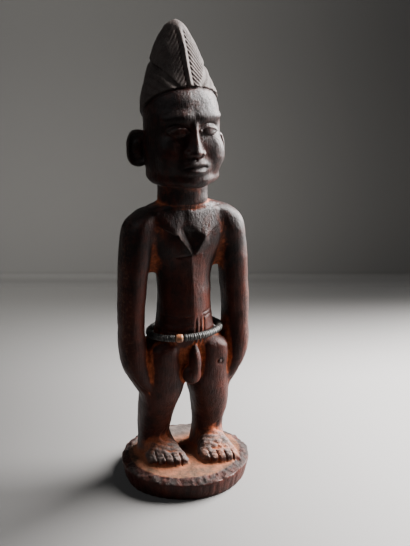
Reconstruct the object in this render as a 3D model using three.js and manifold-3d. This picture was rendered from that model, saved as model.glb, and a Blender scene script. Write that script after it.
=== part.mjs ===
// A carved wooden twin figure on a round base, with a string of disc beads round the hips.
// Millimetres, +Z up. The origin is the centre of the base's underside and the figure faces -Y,
// so its own right side is at -X.
import * as THREE from 'three';
import { ConvexGeometry } from 'three/addons/geometries/ConvexGeometry.js';
import { mergeVertices } from 'three/addons/utils/BufferGeometryUtils.js';
import Module from 'manifold-3d';

// Driving dimensions.
const FIGURE_HEIGHT = 259; // from the top of the base to the tip of the crest
const FIGURE_PLACE = { x: -0.6, y: -2.1 }; // it stands a little off the middle of the base
const BASE_WIDTH = 80; // across, along X
const BASE_DEPTH = 77.8; // front to back, along Y
const BASE_HEIGHT = 13.5;
const BASE_BEVEL_WIDTH = 4.8; // the worn slope round the top of the base
const BASE_BEVEL_DROP = 2.6;
const BASE_TAPER = 2.2; // how far the wall leans in towards its foot
const BASE_EDGE = 1; // the small bevel at the foot of the base's wall
const BASE_WANDER = 0.5; // how far the hewn outline strays from a true oval
const DISC_DIAMETER = 4.2;
const DISC_PITCH = 1.3; // one disc's thickness, along the string
const SEAM_DEPTH = 0.45; // how far the seam between two discs dips
const THREAD_DIAMETER = 1;
const PALE_BEAD_DIAMETER = 4.8;
const PALE_BEAD_LENGTH = 4.4;
const PALE_BEAD_LAND = 0.4; // the flat ring round the mouth of its bore
const PALE_BEAD_TURN = -27; // where the pale bead sits, in degrees from the front
const STRING_TILT = 2; // degrees that the string hangs lower at the figure's right side
const STRING_DIP = 5; // degrees that it hangs lower at the back
const STRING_SLACK = 1.2; // how much wider than the hips the string hangs at each side
const CLEARANCE = 0.3; // between the string, the pale bead and the wood

// The free forms are given in carving units, a 259th of the figure's height each. Their zero height
// lies one unit down in the base's wood.
const CARVING_UNITS = 259;
const UNIT = FIGURE_HEIGHT / CARVING_UNITS;
const FOOTING = 1;
const SINK = 1; // how far the feet run down below the zero height

// How finely the round things are faceted.
const BASE_SIDES = 27;
const DISC_SIDES = 6;
const BEAD_SIDES = 12;
const SEAT_SIDES = 6;
const SEAT_STEPS = 22;
const RAD = Math.PI / 180;
const MERGE = 1e-4; // vertices this close are one
const STEP_DOWN = 0.02; // the length of the sudden step from a disc to the bare thread

const wasm = await Module();
wasm.setup();

function solid(geometry) {
  const bare = geometry.clone();
  bare.deleteAttribute('normal');
  bare.deleteAttribute('uv');
  const merged = mergeVertices(bare, MERGE);
  return new wasm.Manifold(new wasm.Mesh({
    numProp: 3,
    vertProperties: new Float32Array(merged.attributes.position.array),
    triVerts: new Uint32Array(merged.index.array),
  }));
}

function geometryOf(shape) {
  const mesh = shape.getMesh();
  const geometry = new THREE.BufferGeometry();
  geometry.setAttribute('position', new THREE.BufferAttribute(new Float32Array(mesh.vertProperties), 3));
  geometry.setIndex(new THREE.BufferAttribute(new Uint32Array(mesh.triVerts), 1));
  geometry.computeVertexNormals();
  return geometry;
}

const joined = (shapes) => shapes.reduce((all, one) => all.add(one));

function mirrored(geometry) {
  const other = geometry.clone();
  other.scale(-1, 1, 1);
  const index = other.index.array;
  for (let i = 0; i < index.length; i += 3) {
    [index[i], index[i + 1]] = [index[i + 1], index[i]];
  }
  return other;
}

// A carved form runs through a few level sections, lowest first. Each section has its height z, the
// place x and y of its middle, its half width, and how far it reaches to the front and to the back.
// Square says how boxy it is: 2 is an oval, more is squarer, less comes to a keel.
const SECTION = { x: 0, y: 0, squareFront: 2.2, squareBack: 2.2 };

function form(sections) {
  const all = sections.map((s) => ({ ...SECTION, ...s }));
  const curve = (pick) => new THREE.CatmullRomCurve3(all.map((s) => new THREE.Vector3(...pick(s))));
  const middles = curve((s) => [s.x, s.y, s.z]);
  const reaches = curve((s) => [s.half, s.front, s.back]);
  const squares = curve((s) => [s.squareFront, s.squareBack, 0]);
  // A point on the skin: t runs from the first section to the last, turn from the front to the left.
  return (t, turn) => {
    const middle = middles.getPoint(t);
    const reach = reaches.getPoint(t);
    const square = squares.getPoint(t);
    const sin = Math.sin(turn);
    const cos = Math.cos(turn);
    const power = 2 / (cos > 0 ? square.x : square.y);
    const across = reach.x * Math.sign(sin) * Math.abs(sin) ** power;
    const ahead = (cos > 0 ? reach.y : reach.z) * Math.sign(cos) * Math.abs(cos) ** power;
    return new THREE.Vector3(middle.x + across, middle.y - ahead, middle.z);
  };
}

// The form as a closed mesh. A flat top puts a face, not an edge, at the front of each section.
function carved(sections, sides, rings, flatTop = false) {
  const skin = form(sections);
  const start = flatTop ? Math.PI / sides : 0;
  const geometry = new THREE.CylinderGeometry(1, 1, 1, sides, rings, false, start);
  const place = geometry.attributes.position;
  const first = { ...SECTION, ...sections[0] };
  const last = { ...SECTION, ...sections.at(-1) };
  for (let i = 0; i < place.count; i += 1) {
    const [x, y, z] = [place.getX(i), place.getY(i), place.getZ(i)];
    const middleOfCap = x === 0 && z === 0;
    const end = y > 0 ? last : first;
    const p = middleOfCap ? end : skin(y + 0.5, Math.atan2(x, z));
    place.setXYZ(i, p.x, p.y, p.z);
  }
  return geometry;
}

// A wedge that cuts a groove in a form's skin, from one [t, turn] to another.
const NUDGE = 0.02; // how far the slope of the skin is sensed
function groove(skin, from, to, width, depth, steps) {
  const geometry = new THREE.CylinderGeometry(1, 1, 1, 4, steps);
  const place = geometry.attributes.position;
  const { clamp, lerp } = THREE.MathUtils;
  const where = (s) => [lerp(from[0], to[0], s), lerp(from[1], to[1], s) * RAD];
  for (let i = 0; i < place.count; i += 1) {
    const s = place.getY(i) + 0.5;
    const [t, turn] = where(s);
    const upward = skin(clamp(t + NUDGE, 0, 1), turn).sub(skin(clamp(t - NUDGE, 0, 1), turn));
    const around = skin(t, turn + NUDGE).sub(skin(t, turn - NUDGE));
    const outward = around.cross(upward).normalize();
    const ahead = skin(...where(clamp(s + NUDGE, 0, 1)));
    const along = ahead.sub(skin(...where(clamp(s - NUDGE, 0, 1)))).normalize();
    const aside = along.clone().cross(outward).normalize();
    const point = skin(t, turn);
    point.addScaledVector(aside, place.getX(i) * width / 2);
    point.addScaledVector(outward, place.getZ(i) * depth);
    place.setXYZ(i, point.x, point.y, point.z);
  }
  return geometry;
}

// A rounded lump: a ball stretched to three half sizes, turned and put in its place.
function lump(x, y, z, halfX, halfY, halfZ, sides, turn = [0, 0, 0]) {
  const rings = Math.round(sides * 0.6);
  const geometry = mergeVertices(new THREE.SphereGeometry(1, sides, rings));
  geometry.scale(halfX, halfY, halfZ);
  geometry.rotateX(turn[0] * RAD);
  geometry.rotateY(turn[1] * RAD);
  geometry.rotateZ(turn[2] * RAD);
  geometry.translate(x, y, z);
  return geometry;
}

// A form of flat knife cuts, as the hull of its corners.
function facets(corners) {
  const geometry = new ConvexGeometry(corners.map((corner) => new THREE.Vector3(...corner)));
  geometry.deleteAttribute('normal');
  return mergeVertices(geometry);
}

const both = (geometry) => [solid(geometry), solid(mirrored(geometry))];

// Trunk, from between the legs up to the neck. The front has a soft keel down the middle. The
// string of beads lies round the hips.
const HIPS = { z: 83.4, half: 17.6, front: 16.6, back: 15.5, squareFront: 2.2 };
const TRUNK = [
  { z: 51, half: 6, y: 2, front: 8, back: 10 },
  { z: 56, half: 12, y: 2, front: 10.5, back: 13.5 },
  { z: 63, half: 17, y: 1, front: 12, back: 15.5 },
  { z: 73, half: 18, y: 1, front: 13, back: 16 },
  HIPS,
  { z: 94, half: 16.4, y: -1, front: 15.8, back: 15, squareFront: 1.75 },
  { z: 107, half: 16, y: -1.5, front: 14.8, back: 15, squareFront: 1.6 },
  { z: 118, half: 16.4, y: -1, front: 13.8, back: 14.5, squareFront: 1.65 },
  { z: 129, half: 19.4, y: -1, front: 13, back: 14.5, squareFront: 1.9 },
  { z: 141, half: 24, front: 13.4, back: 13.5, squareFront: 2.8 },
  { z: 150, half: 28.5, y: 0.5, front: 12, back: 13, squareFront: 2.6 },
  { z: 154.4, half: 26, y: 0.5, front: 11, back: 12, squareFront: 2.4 },
  { z: 158.4, half: 20.5, y: 0.5, front: 11.4, back: 12 },
  { z: 161.6, half: 14.6, y: 0.5, front: 12.4, back: 13 },
];
const trunkSkin = form(TRUNK);

const NECK = [
  { z: 154, half: 12, y: 0.5, front: 8, back: 9 },
  { z: 161, half: 14.2, y: 0.5, front: 12.4, back: 13 },
  { z: 168, half: 13.9, y: 0.5, front: 13.4, back: 13.8 },
  { z: 176, half: 14.4, y: 0.5, front: 13.8, back: 14.5 },
];

// Head and the core of the crest in one form. The jaw is broad and nearly flat below.
const HEAD = [
  { z: 171.2, half: 15, y: 1, front: 15, back: 15 },
  { z: 173.2, half: 18.4, y: 1, front: 18.6, back: 18 },
  { z: 180, half: 20.2, y: 1, front: 20.8, back: 21 },
  { z: 190, half: 20.8, y: 1, front: 21, back: 22.6 },
  { z: 200, half: 20.8, y: 1.5, front: 20.6, back: 23 },
  { z: 210, half: 20.6, y: 2, front: 21.4, back: 22.4 },
  { z: 219, half: 19, y: 3.5, front: 20.8, back: 20 },
  { z: 227, half: 16.8, y: 5.5, front: 17.4, back: 18 },
  { z: 236, half: 13, y: 7.5, front: 13.6, back: 15 },
  { z: 244, half: 8, y: 9, front: 8, back: 10 },
];

// The crest is a tall pointed cap of hair with a keel at the front, a little proud of the brow.
const CREST = [
  { z: 196, half: 21.4, y: 2, front: 22, back: 23.8 },
  { z: 206, half: 21.8, y: 2, front: 22.4, back: 24.2 },
  { z: 215, half: 21.4, y: 3, front: 22.2, back: 23.2 },
  { z: 223, half: 20, y: 4.5, front: 20.4, back: 21.6, squareFront: 2 },
  { z: 230, half: 17.9, y: 6.5, front: 18.6, back: 19.2, squareFront: 1.75 },
  { z: 238, half: 15, y: 8.5, front: 16.4, back: 16.8, squareFront: 1.6 },
  { z: 246, half: 11.8, y: 9.8, front: 13.3, back: 13.4, squareFront: 1.6 },
  { z: 253, half: 7.9, y: 10.4, front: 8.9, back: 9.2, squareFront: 1.65 },
  { z: 257.5, half: 4.4, y: 10.4, front: 4.8, back: 5.4, squareFront: 1.8 },
  { z: 260, half: 1, y: 10.2, front: 1, back: 1.4 },
];
const crestSkin = form(CREST);

// Incised rows of hair. They start at the keel and fall away to both sides, down to a border that
// sweeps up and back from the brow. Below it the rows of the side panel run along the border.
const GROOVE_WIDTH = 1.2;
const GROOVE_DEPTH = 0.8;
const ROWS = { count: 6, first: 0.46, step: 0.066, drop: 0.15, from: 4, to: 54 };
const SIDE_ROWS = { count: 3, step: 0.066, low: 0.34, high: 0.54, from: 32, to: 100 };
const BORDER = { low: 0.37, high: 0.57, from: 14, to: 96 };
const HAIRLINE = { slope: 33, y: -15.5, z: 228 };

function hairCuts(side) {
  const cut = (from, to, steps) => groove(crestSkin, [from[0], side * from[1]],
    [to[0], side * to[1]], GROOVE_WIDTH, GROOVE_DEPTH, steps);
  const cuts = [cut([BORDER.low, BORDER.from], [BORDER.high, BORDER.to], 4)];
  for (let row = 0; row < ROWS.count; row += 1) {
    const t = ROWS.first + row * ROWS.step;
    cuts.push(cut([t, ROWS.from], [t - ROWS.drop, ROWS.to], 2));
  }
  for (let row = 0; row < SIDE_ROWS.count; row += 1) {
    const drop = (row + 1) * SIDE_ROWS.step;
    cuts.push(cut([SIDE_ROWS.low - drop, SIDE_ROWS.from], [SIDE_ROWS.high - drop, SIDE_ROWS.to], 3));
  }
  return cuts;
}

function hair() {
  // The hairline is a slanting cut: high over the brow, low behind the ears.
  const above = new THREE.BoxGeometry(80, 100, 100);
  above.translate(0, 0, 50);
  above.rotateX(-HAIRLINE.slope * RAD);
  above.translate(0, HAIRLINE.y, HAIRLINE.z);
  const cap = solid(carved(CREST, 16, 8)).intersect(solid(above));
  return [-1, 1].flatMap(hairCuts).reduce((rest, cut) => rest.subtract(solid(cut)), cap);
}

// The ears are flat plates that stand out sideways from the head, each with a hollow inside its
// rim. The right one sits a little higher than the left.
const EAR = { half: 6.2, tall: 10.4, thick: 3.8, rim: 2.2, hollow: 1.6, lean: 22, x: 22.6, y: 10.2 };
const EAR_HEIGHTS = { right: 191.3, left: 187.6 };

function ear(z) {
  const plate = (shrink, from, depth) => {
    const shape = new THREE.Shape();
    shape.absellipse(0, 0, EAR.half - shrink, EAR.tall - shrink, 0, 2 * Math.PI);
    const geometry = new THREE.ExtrudeGeometry(shape, { depth, bevelEnabled: false, curveSegments: 4 });
    geometry.translate(0, 0, from);
    geometry.rotateX(90 * RAD);
    geometry.rotateZ(EAR.lean * RAD);
    geometry.translate(EAR.x, EAR.y, z);
    return mergeVertices(geometry);
  };
  const outer = plate(0, 0, EAR.thick);
  const inner = plate(EAR.rim, EAR.thick - EAR.hollow, EAR.hollow * 2);
  return { outer, inner };
}

function ears() {
  const left = ear(EAR_HEIGHTS.left);
  const right = ear(EAR_HEIGHTS.right);
  return [
    solid(left.outer).subtract(solid(left.inner)),
    solid(mirrored(right.outer)).subtract(solid(mirrored(right.inner))),
  ];
}

// A calm mask of plain proportions: brow, almond eyes, broad nose and full lips.
function face() {
  const nose = carved([
    { z: 189.5, half: 3.4, y: -19, front: 3.6, back: 3, squareFront: 2 },
    { z: 191.5, half: 4.4, y: -19, front: 5.8, back: 3, squareFront: 2 },
    { z: 195, half: 3.4, y: -19, front: 5.4, back: 3, squareFront: 2 },
    { z: 201, half: 2, y: -19, front: 3.4, back: 3, squareFront: 2 },
    { z: 211, half: 2.2, y: -18, front: 1.4, back: 3, squareFront: 2 },
  ], 8, 5);
  return [
    solid(nose),
    solid(lump(0, -16.4, 176, 9, 4, 4.6, 8)),
    solid(lump(0, -19.2, 185.8, 6.8, 3.6, 2.2, 8)),
    solid(lump(0, -19, 181.6, 6, 3.5, 2.2, 8)),
    ...both(lump(8.6, -16.4, 203, 5, 3.4, 3.2, 8, [0, 0, 20])),
    ...both(lump(8.7, -16, 205, 5.8, 4.2, 1.6, 8, [0, -4, 20])),
    ...both(lump(8.7, -16, 200.9, 5.5, 3.6, 1.2, 8, [0, 4, 20])),
    ...both(lump(9, -16.4, 210.2, 8.4, 3.4, 2, 8, [0, 2, 22])),
    ...both(lump(3.6, -20.2, 191.6, 2, 2.6, 1.9, 6)),
  ];
}

// Shoulder, upper arm, forearm and the flat hand, which comes in to lie on the thigh.
const ARM = [
  { z: 42, x: 22.6, y: -0.5, half: 2, front: 3, back: 3 },
  { z: 46, x: 24.2, y: -0.5, half: 4, front: 6.5, back: 6.5 },
  { z: 53, x: 26.6, y: -1, half: 6, front: 9.5, back: 9 },
  { z: 61, x: 29.6, y: -1, half: 7.3, front: 11, back: 10.5 },
  { z: 69, x: 31.8, y: -0.5, half: 8, front: 11.6, back: 11.5 },
  { z: 78, x: 32.6, half: 7.9, front: 11.5, back: 11.5 },
  { z: 88, x: 32.8, half: 7.4, front: 11, back: 11 },
  { z: 100, x: 32.5, half: 7.6, front: 11, back: 11 },
  { z: 112, x: 31.6, half: 7.8, front: 11.3, back: 11.3 },
  { z: 124, x: 30.4, half: 8.2, front: 11.7, back: 11.7 },
  { z: 136, x: 28.9, half: 8.8, front: 12, back: 12 },
  { z: 144, x: 27.6, half: 9.2, front: 12, back: 12 },
  { z: 149.6, x: 26.2, half: 9, front: 11, back: 11 },
  { z: 153.4, x: 24.4, half: 7.8, front: 9.8, back: 9.8 },
  { z: 156.6, x: 21.4, half: 5.6, front: 7.8, back: 7.8 },
  { z: 158.6, x: 19, half: 2.6, front: 4, back: 4 },
];

// Wood left standing in the armpit, and between the hip and the hand.
const ARMPIT = [
  { z: 120.6, x: 20.4, y: 1.5, half: 4.6, front: 2.5, back: 3.5 },
  { z: 125, x: 20.6, y: 1.5, half: 6, front: 5, back: 7 },
  { z: 132, x: 20.8, y: 1.5, half: 6.4, front: 7, back: 9.6 },
  { z: 144, x: 21, y: 1.5, half: 7, front: 7.5, back: 11 },
];
const WEB = [
  { z: 45, x: 20, y: 2.5, half: 5, front: 5, back: 6 },
  { z: 56, x: 22, y: 2.5, half: 6, front: 7, back: 8 },
  { z: 68, x: 23.5, y: 2.5, half: 6, front: 6, back: 8 },
  { z: 76, x: 24, y: 2.5, half: 6, front: 4, back: 6 },
  { z: 79, x: 24, y: 2.5, half: 5, front: 2, back: 4 },
];

// The breasts are cut flat and come to a point each, the left one lower than the right. The wall of
// the right one runs down to the keel in a long wedge, and a hollow lies between it and the left one.
const TIPS = { right: [-9.6, -16, 144.4], left: [7.8, -16.4, 142.6] };
const BREASTS = [
  [TIPS.right, [-6.4, -13.7, 149.8], [-3.4, -11.8, 152.6], [-20.6, -8.4, 152], [-4.4, -10.8, 158.4],
    [-17.5, -8.8, 157.4], [-9, -4, 147], [-10, -4, 156]],
  [TIPS.left, [2.4, -14.8, 149.8], [20.6, -8.4, 150.5], [1.8, -12.2, 157.6],
    [17.5, -8.8, 157.4], [9, -4, 144], [10, -4, 156]],
];
const WEDGE = [
  [0, -14.8, 132.5], [-9.2, -15.6, 144.6], [-6.4, -13.6, 149.8], [-3.2, -11.4, 152.6], [1, -8, 150.5],
  [-6, -8, 156], [-2, -8, 138],
];
const HOLLOW = lump(7, -16.5, 145.5, 8, 8, 13, 8);
const NIPPLE = 1.4;

const LEG = [
  { z: -SINK, x: 17.2, y: 6, half: 10.6, front: 8.6, back: 11.2 },
  { z: 4, x: 17.2, y: 6, half: 9.9, front: 8.4, back: 11 },
  { z: 10, x: 17.4, y: 6, half: 9.3, front: 8.4, back: 11 },
  { z: 18, x: 17.5, y: 5, half: 9.5, front: 9.4, back: 12 },
  { z: 28, x: 17.2, y: 3.5, half: 10.4, front: 11.4, back: 13 },
  { z: 38, x: 16.3, y: 1.6, half: 11.7, front: 13, back: 13.5, squareFront: 2.3 },
  { z: 45, x: 15.1, y: 0.8, half: 12.7, front: 14, back: 13.8, squareFront: 2.2 },
  { z: 53, x: 14.2, half: 13, front: 14.6, back: 14, squareFront: 2.2 },
  { z: 61, x: 14.8, half: 11.2, front: 15.2, back: 14, squareFront: 2.5 },
  { z: 70, x: 15.4, half: 9.4, front: 15.4, back: 13.6, squareFront: 3 },
  { z: 77, x: 14.4, half: 8.4, front: 14.4, back: 12.6, squareFront: 3 },
  { z: 80.4, x: 13, half: 5.6, front: 11, back: 9, squareFront: 3 },
];

// The right ankle stands further back than the left one. The thighs stay level.
const KNEE = 45;
const STANCES = [{ side: -1, back: 4 }, { side: 1, back: 0 }];

function leg({ side, back }) {
  const sections = LEG.map((s) => ({ ...s, y: (s.y ?? 0) + back * Math.max(0, 1 - s.z / KNEE) }));
  const geometry = carved(sections, 12, 8);
  return solid(side < 0 ? mirrored(geometry) : geometry);
}

// A foot is a wedge that widens to the toes. It is modelled along its own length, heel first, then
// laid down, turned and put under the leg. The longest toe is the second from the figure's left.
const FOOT = { length: 38, behind: 11, width: 22.8, toeLength: 9, toeCount: 5 };
const TOE_CURVE = { longest: 1.2, recede: 0.6 };
const FOOT_PLACES = [{ x: -14, y: 10, turn: -2, slant: 0.5 }, { x: 17.4, y: 4.6, turn: -2, slant: -0.3 }];

function foot({ x, y, turn, slant }) {
  const length = FOOT.length - FOOT.toeLength;
  const pitch = FOOT.width / FOOT.toeCount;
  const pieces = [carved([
    { z: 0, half: 5.5, front: 5, back: SINK },
    { z: 3, half: 8.2, front: 11, back: SINK },
    { z: length * 0.5, half: 9.4, front: 16, back: SINK },
    { z: length * 0.75, half: 10.6, front: 13, back: SINK, squareFront: 2.6 },
    { z: length, half: FOOT.width / 2, front: 8, back: SINK, squareFront: 3.6 },
  ], 12, 4)];
  for (let toe = 0; toe < FOOT.toeCount; toe += 1) {
    const across = (toe - (FOOT.toeCount - 1) / 2) * pitch;
    const short = TOE_CURVE.recede * (toe - TOE_CURVE.longest) ** 2 + slant * toe;
    const tip = length + FOOT.toeLength - short;
    const one = carved([
      { z: length - 5, half: pitch * 0.53, front: 7.4, back: SINK },
      { z: length, half: pitch * 0.53, front: 7.4, back: SINK },
      { z: tip - 1.2, half: pitch * 0.53, front: 6.2, back: SINK },
      { z: tip, half: pitch * 0.46, front: 5, back: SINK },
    ], 6, 3, true);
    one.translate(across, 0, 0);
    pieces.push(one);
  }
  return pieces.map((piece) => {
    piece.rotateX(-90 * RAD);
    piece.translate(0, -FOOT.behind, 0);
    piece.rotateZ((180 + turn) * RAD);
    piece.translate(x, y, 0);
    return solid(piece);
  });
}

function base() {
  const radius = BASE_WIDTH / 2;
  const wall = BASE_HEIGHT - BASE_BEVEL_DROP;
  const profile = [
    [0, 0], [radius - BASE_TAPER - BASE_EDGE, 0], [radius - BASE_TAPER, BASE_EDGE], [radius, wall],
    [radius - BASE_BEVEL_WIDTH, BASE_HEIGHT], [0, BASE_HEIGHT],
  ].map(([r, z]) => new THREE.Vector2(r, z));
  const geometry = new THREE.LatheGeometry(profile, BASE_SIDES);
  geometry.rotateX(90 * RAD);
  geometry.scale(1, BASE_DEPTH / BASE_WIDTH, 1);
  const place = geometry.attributes.position;
  for (let i = 0; i < place.count; i += 1) {
    const turn = Math.atan2(place.getY(i), place.getX(i));
    const wander = 1 - Math.cos(3 * turn + 1) * Math.cos(2 * turn);
    const shrink = 1 - BASE_WANDER / radius * wander;
    place.setX(i, place.getX(i) * shrink);
    place.setY(i, place.getY(i) * shrink);
  }
  return geometry;
}

// The string of beads is a ring round the hips, clear of the wood by the clearance. It is modelled
// level round the figure's own axis and then hung. Places along it are shares of its length, from
// the figure's left side round by the back.
const STANDOFF = CLEARANCE + DISC_DIAMETER / 2;
const ringHalf = HIPS.half * UNIT + STANDOFF + STRING_SLACK;
const ringReach = (HIPS.front + HIPS.back) / 2 * UNIT + STANDOFF;
const ringMiddle = (HIPS.back - HIPS.front) / 2 * UNIT;
const ring = new THREE.EllipseCurve(0, ringMiddle, ringHalf, ringReach, 0, 2 * Math.PI);
ring.arcLengthDivisions = 400;
const ringLength = ring.getLength();
const frontOfRing = 0.75;
const paleBeadAt = frontOfRing + PALE_BEAD_TURN / 360;

// A tube along the ring. A station is a place along it, from the pale bead round, and a radius.
function ringTube(stations, sides) {
  const geometry = new THREE.TorusGeometry(1, 0.5, sides, stations.length);
  const place = geometry.attributes.position;
  for (let i = 0; i < place.count; i += 1) {
    const [x, y, z] = [place.getX(i), place.getY(i), place.getZ(i)];
    const round = (Math.atan2(y, x) / (2 * Math.PI) + 1) % 1;
    const [along, radius] = stations[Math.round(round * stations.length) % stations.length];
    const u = (paleBeadAt + along / ringLength) % 1;
    const middle = ring.getPointAt(u);
    const ahead = ring.getTangentAt(u);
    const out = (Math.hypot(x, y) - 1) * 2 * radius;
    place.setXYZ(i, middle.x + ahead.y * out, middle.y - ahead.x * out, z * 2 * radius);
  }
  return geometry;
}

// From the level ring to its place on the figure.
function hung(geometry) {
  geometry.rotateY(-STRING_TILT * RAD);
  geometry.rotateX(-STRING_DIP * RAD);
  geometry.translate(0, 0, HIPS.z * UNIT);
  return placed(geometry);
}

function placed(geometry) {
  geometry.translate(FIGURE_PLACE.x, FIGURE_PLACE.y, BASE_HEIGHT - FOOTING * UNIT);
  return geometry;
}

// The discs are fused on their thread. One station lies on each seam and one on each disc, and the
// bare thread runs on through the pale bead.
function string() {
  const gap = PALE_BEAD_LENGTH + 2 * CLEARANCE;
  const discs = Math.floor((ringLength - gap) / DISC_PITCH);
  const pitch = (ringLength - gap) / discs;
  const [thread, seam] = [THREAD_DIAMETER / 2, DISC_DIAMETER / 2 - SEAM_DEPTH];
  const stations = [[0, thread], [gap / 2 - STEP_DOWN, thread]];
  for (let disc = 0; disc < discs; disc += 1) {
    stations.push([gap / 2 + disc * pitch, seam]);
    stations.push([gap / 2 + (disc + 0.5) * pitch, DISC_DIAMETER / 2]);
  }
  stations.push([ringLength - gap / 2, seam]);
  stations.push([ringLength - gap / 2 + STEP_DOWN, thread]);
  return hung(ringTube(stations, DISC_SIDES));
}

// The room that the string and the pale bead take where they lie against the hips.
function stringSeat() {
  const stations = [];
  for (let step = 0; step < SEAT_STEPS; step += 1) {
    stations.push([step / SEAT_STEPS * ringLength, STANDOFF]);
  }
  const place = ring.getPointAt(paleBeadAt);
  const room = PALE_BEAD_DIAMETER / 2 + CLEARANCE;
  const beadSeat = lump(place.x, place.y, 0, room, room, room, BEAD_SIDES);
  return solid(hung(ringTube(stations, SEAT_SIDES))).add(solid(hung(beadSeat)));
}

function figure() {
  const raised = [
    solid(carved(TRUNK, 16, 14)).subtract(solid(HOLLOW)),
    solid(carved(NECK, 14, 3)),
    solid(carved(HEAD, 18, 9)),
    hair(),
    ...ears(),
    ...face(),
    ...both(carved(ARM, 10, 11)),
    ...both(carved(ARMPIT, 6, 2)),
    ...both(carved(WEB, 8, 3)),
    ...STANCES.map(leg),
    ...BREASTS.map((corners) => solid(facets(corners))),
    solid(facets(WEDGE)),
    ...Object.values(TIPS).map(([x, y, z]) => solid(lump(x, y + 0.6, z + 0.8, NIPPLE, NIPPLE, NIPPLE, 6))),
    // Buttocks, and the small sexual parts between the thighs.
    ...both(lump(9, 9.6, 69.5, 9.4, 9.4, 13, 8)),
    solid(lump(1.3, -14.6, 68, 3.9, 4.6, 10.5, 8, [-8, 0, 0])),
    solid(lump(-0.4, -13.8, 59.4, 5.8, 4.8, 6.2, 8)),
    ...FOOT_PLACES.flatMap(foot),
  ];
  const spine = solid(groove(trunkSkin, [0.42, 180], [0.84, 180], 2.4, 0.9, 6));
  const body = geometryOf(joined(raised).subtract(spine));
  body.scale(UNIT, UNIT, UNIT);
  return geometryOf(solid(placed(body)).subtract(stringSeat()).add(solid(base())));
}

// A small barrel with a bore for the thread, modelled along Y.
function paleBead() {
  const [half, radius] = [PALE_BEAD_LENGTH / 2, PALE_BEAD_DIAMETER / 2];
  const bore = THREAD_DIAMETER / 2 + CLEARANCE;
  const shoulder = 0.86;
  const shoulderAt = 0.72;
  const profile = [
    [bore, -half], [bore + PALE_BEAD_LAND, -half], [radius * shoulder, -half * shoulderAt],
    [radius, 0], [radius * shoulder, half * shoulderAt], [bore + PALE_BEAD_LAND, half],
    [bore, half], [bore, -half],
  ].map(([r, y]) => new THREE.Vector2(r, y));
  return new THREE.LatheGeometry(profile, BEAD_SIDES);
}

function laidBead() {
  const bead = paleBead();
  const place = ring.getPointAt(paleBeadAt);
  const ahead = ring.getTangentAt(paleBeadAt);
  bead.rotateZ(Math.atan2(ahead.y, ahead.x) - 90 * RAD);
  bead.translate(place.x, place.y, 0);
  return hung(bead);
}

const wood = new THREE.MeshStandardMaterial({ color: 0x4a2a20, roughness: 0.6, metalness: 0 });
const black = new THREE.MeshStandardMaterial({ color: 0x2c3030, roughness: 0.5, metalness: 0 });
const pale = new THREE.MeshStandardMaterial({ color: 0xb98a6c, roughness: 0.5, metalness: 0 });

function named(name, geometry, material) {
  const mesh = new THREE.Mesh(geometry, material);
  mesh.name = name;
  return mesh;
}

const part = new THREE.Group();
part.add(named('figure', figure(), wood));
part.add(named('hip_beads', string(), black));
part.add(named('pale_bead', laidBead(), pale));

export default part;
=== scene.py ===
# A carved twin figure of wood on its round base, with a string of disc beads round the hips.
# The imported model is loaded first, and gives every piece its place.
import itertools
import math
from collections import namedtuple
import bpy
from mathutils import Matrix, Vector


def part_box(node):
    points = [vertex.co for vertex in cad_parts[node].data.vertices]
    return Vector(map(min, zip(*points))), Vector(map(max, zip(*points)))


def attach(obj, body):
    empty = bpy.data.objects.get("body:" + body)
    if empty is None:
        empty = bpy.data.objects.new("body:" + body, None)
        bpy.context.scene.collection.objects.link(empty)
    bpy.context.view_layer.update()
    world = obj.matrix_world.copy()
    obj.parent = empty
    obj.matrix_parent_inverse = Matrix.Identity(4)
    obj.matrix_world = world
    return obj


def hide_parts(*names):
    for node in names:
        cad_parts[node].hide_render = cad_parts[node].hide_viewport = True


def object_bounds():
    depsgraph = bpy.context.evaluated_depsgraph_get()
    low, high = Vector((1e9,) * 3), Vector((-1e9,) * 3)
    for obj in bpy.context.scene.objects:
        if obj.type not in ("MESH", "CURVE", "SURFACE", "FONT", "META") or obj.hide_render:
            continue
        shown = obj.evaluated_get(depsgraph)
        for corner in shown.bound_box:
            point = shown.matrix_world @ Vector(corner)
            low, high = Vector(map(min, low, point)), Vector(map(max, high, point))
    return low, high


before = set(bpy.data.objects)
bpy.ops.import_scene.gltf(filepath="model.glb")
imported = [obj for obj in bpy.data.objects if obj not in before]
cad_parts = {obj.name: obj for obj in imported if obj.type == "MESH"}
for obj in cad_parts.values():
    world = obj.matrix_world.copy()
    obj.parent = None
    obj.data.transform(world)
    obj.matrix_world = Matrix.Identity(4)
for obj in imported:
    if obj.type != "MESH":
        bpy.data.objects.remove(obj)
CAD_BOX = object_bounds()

from types import SimpleNamespace

import bpy
import numpy as np
import openvdb
from mathutils import Euler, Matrix, Vector

bl_info = {
    "name": "Carved twin figure",
    "version": (1, 0, 0),
    "blender": (4, 5, 0),
    "location": "View3D > Sidebar > Figure",
    "description": "Carves a wooden twin figure, strings its beads and sets its stage",
    "category": "Object",
}

MM = 0.001  # in metres, the unit of the scene

# Sizes in millimetres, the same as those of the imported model.
BASE_HEIGHT = 13.5
BASE_WIDTH = 80.0
BASE_DEPTH = 77.8
BASE_BEVEL_WIDTH = 4.8
BASE_BEVEL_DROP = 2.6
BASE_TAPER = 2.2
BASE_WANDER = 0.5
FIGURE_PLACE = (-0.6, -2.1)  # of the figure's axis, from the middle of the base
FOOTING = 1.0  # how far the carving's zero height lies down in the base's wood
DISC_DIAMETER = 4.2
THREAD_DIAMETER = 1.0
CLEARANCE = 0.3

# Settings


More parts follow.
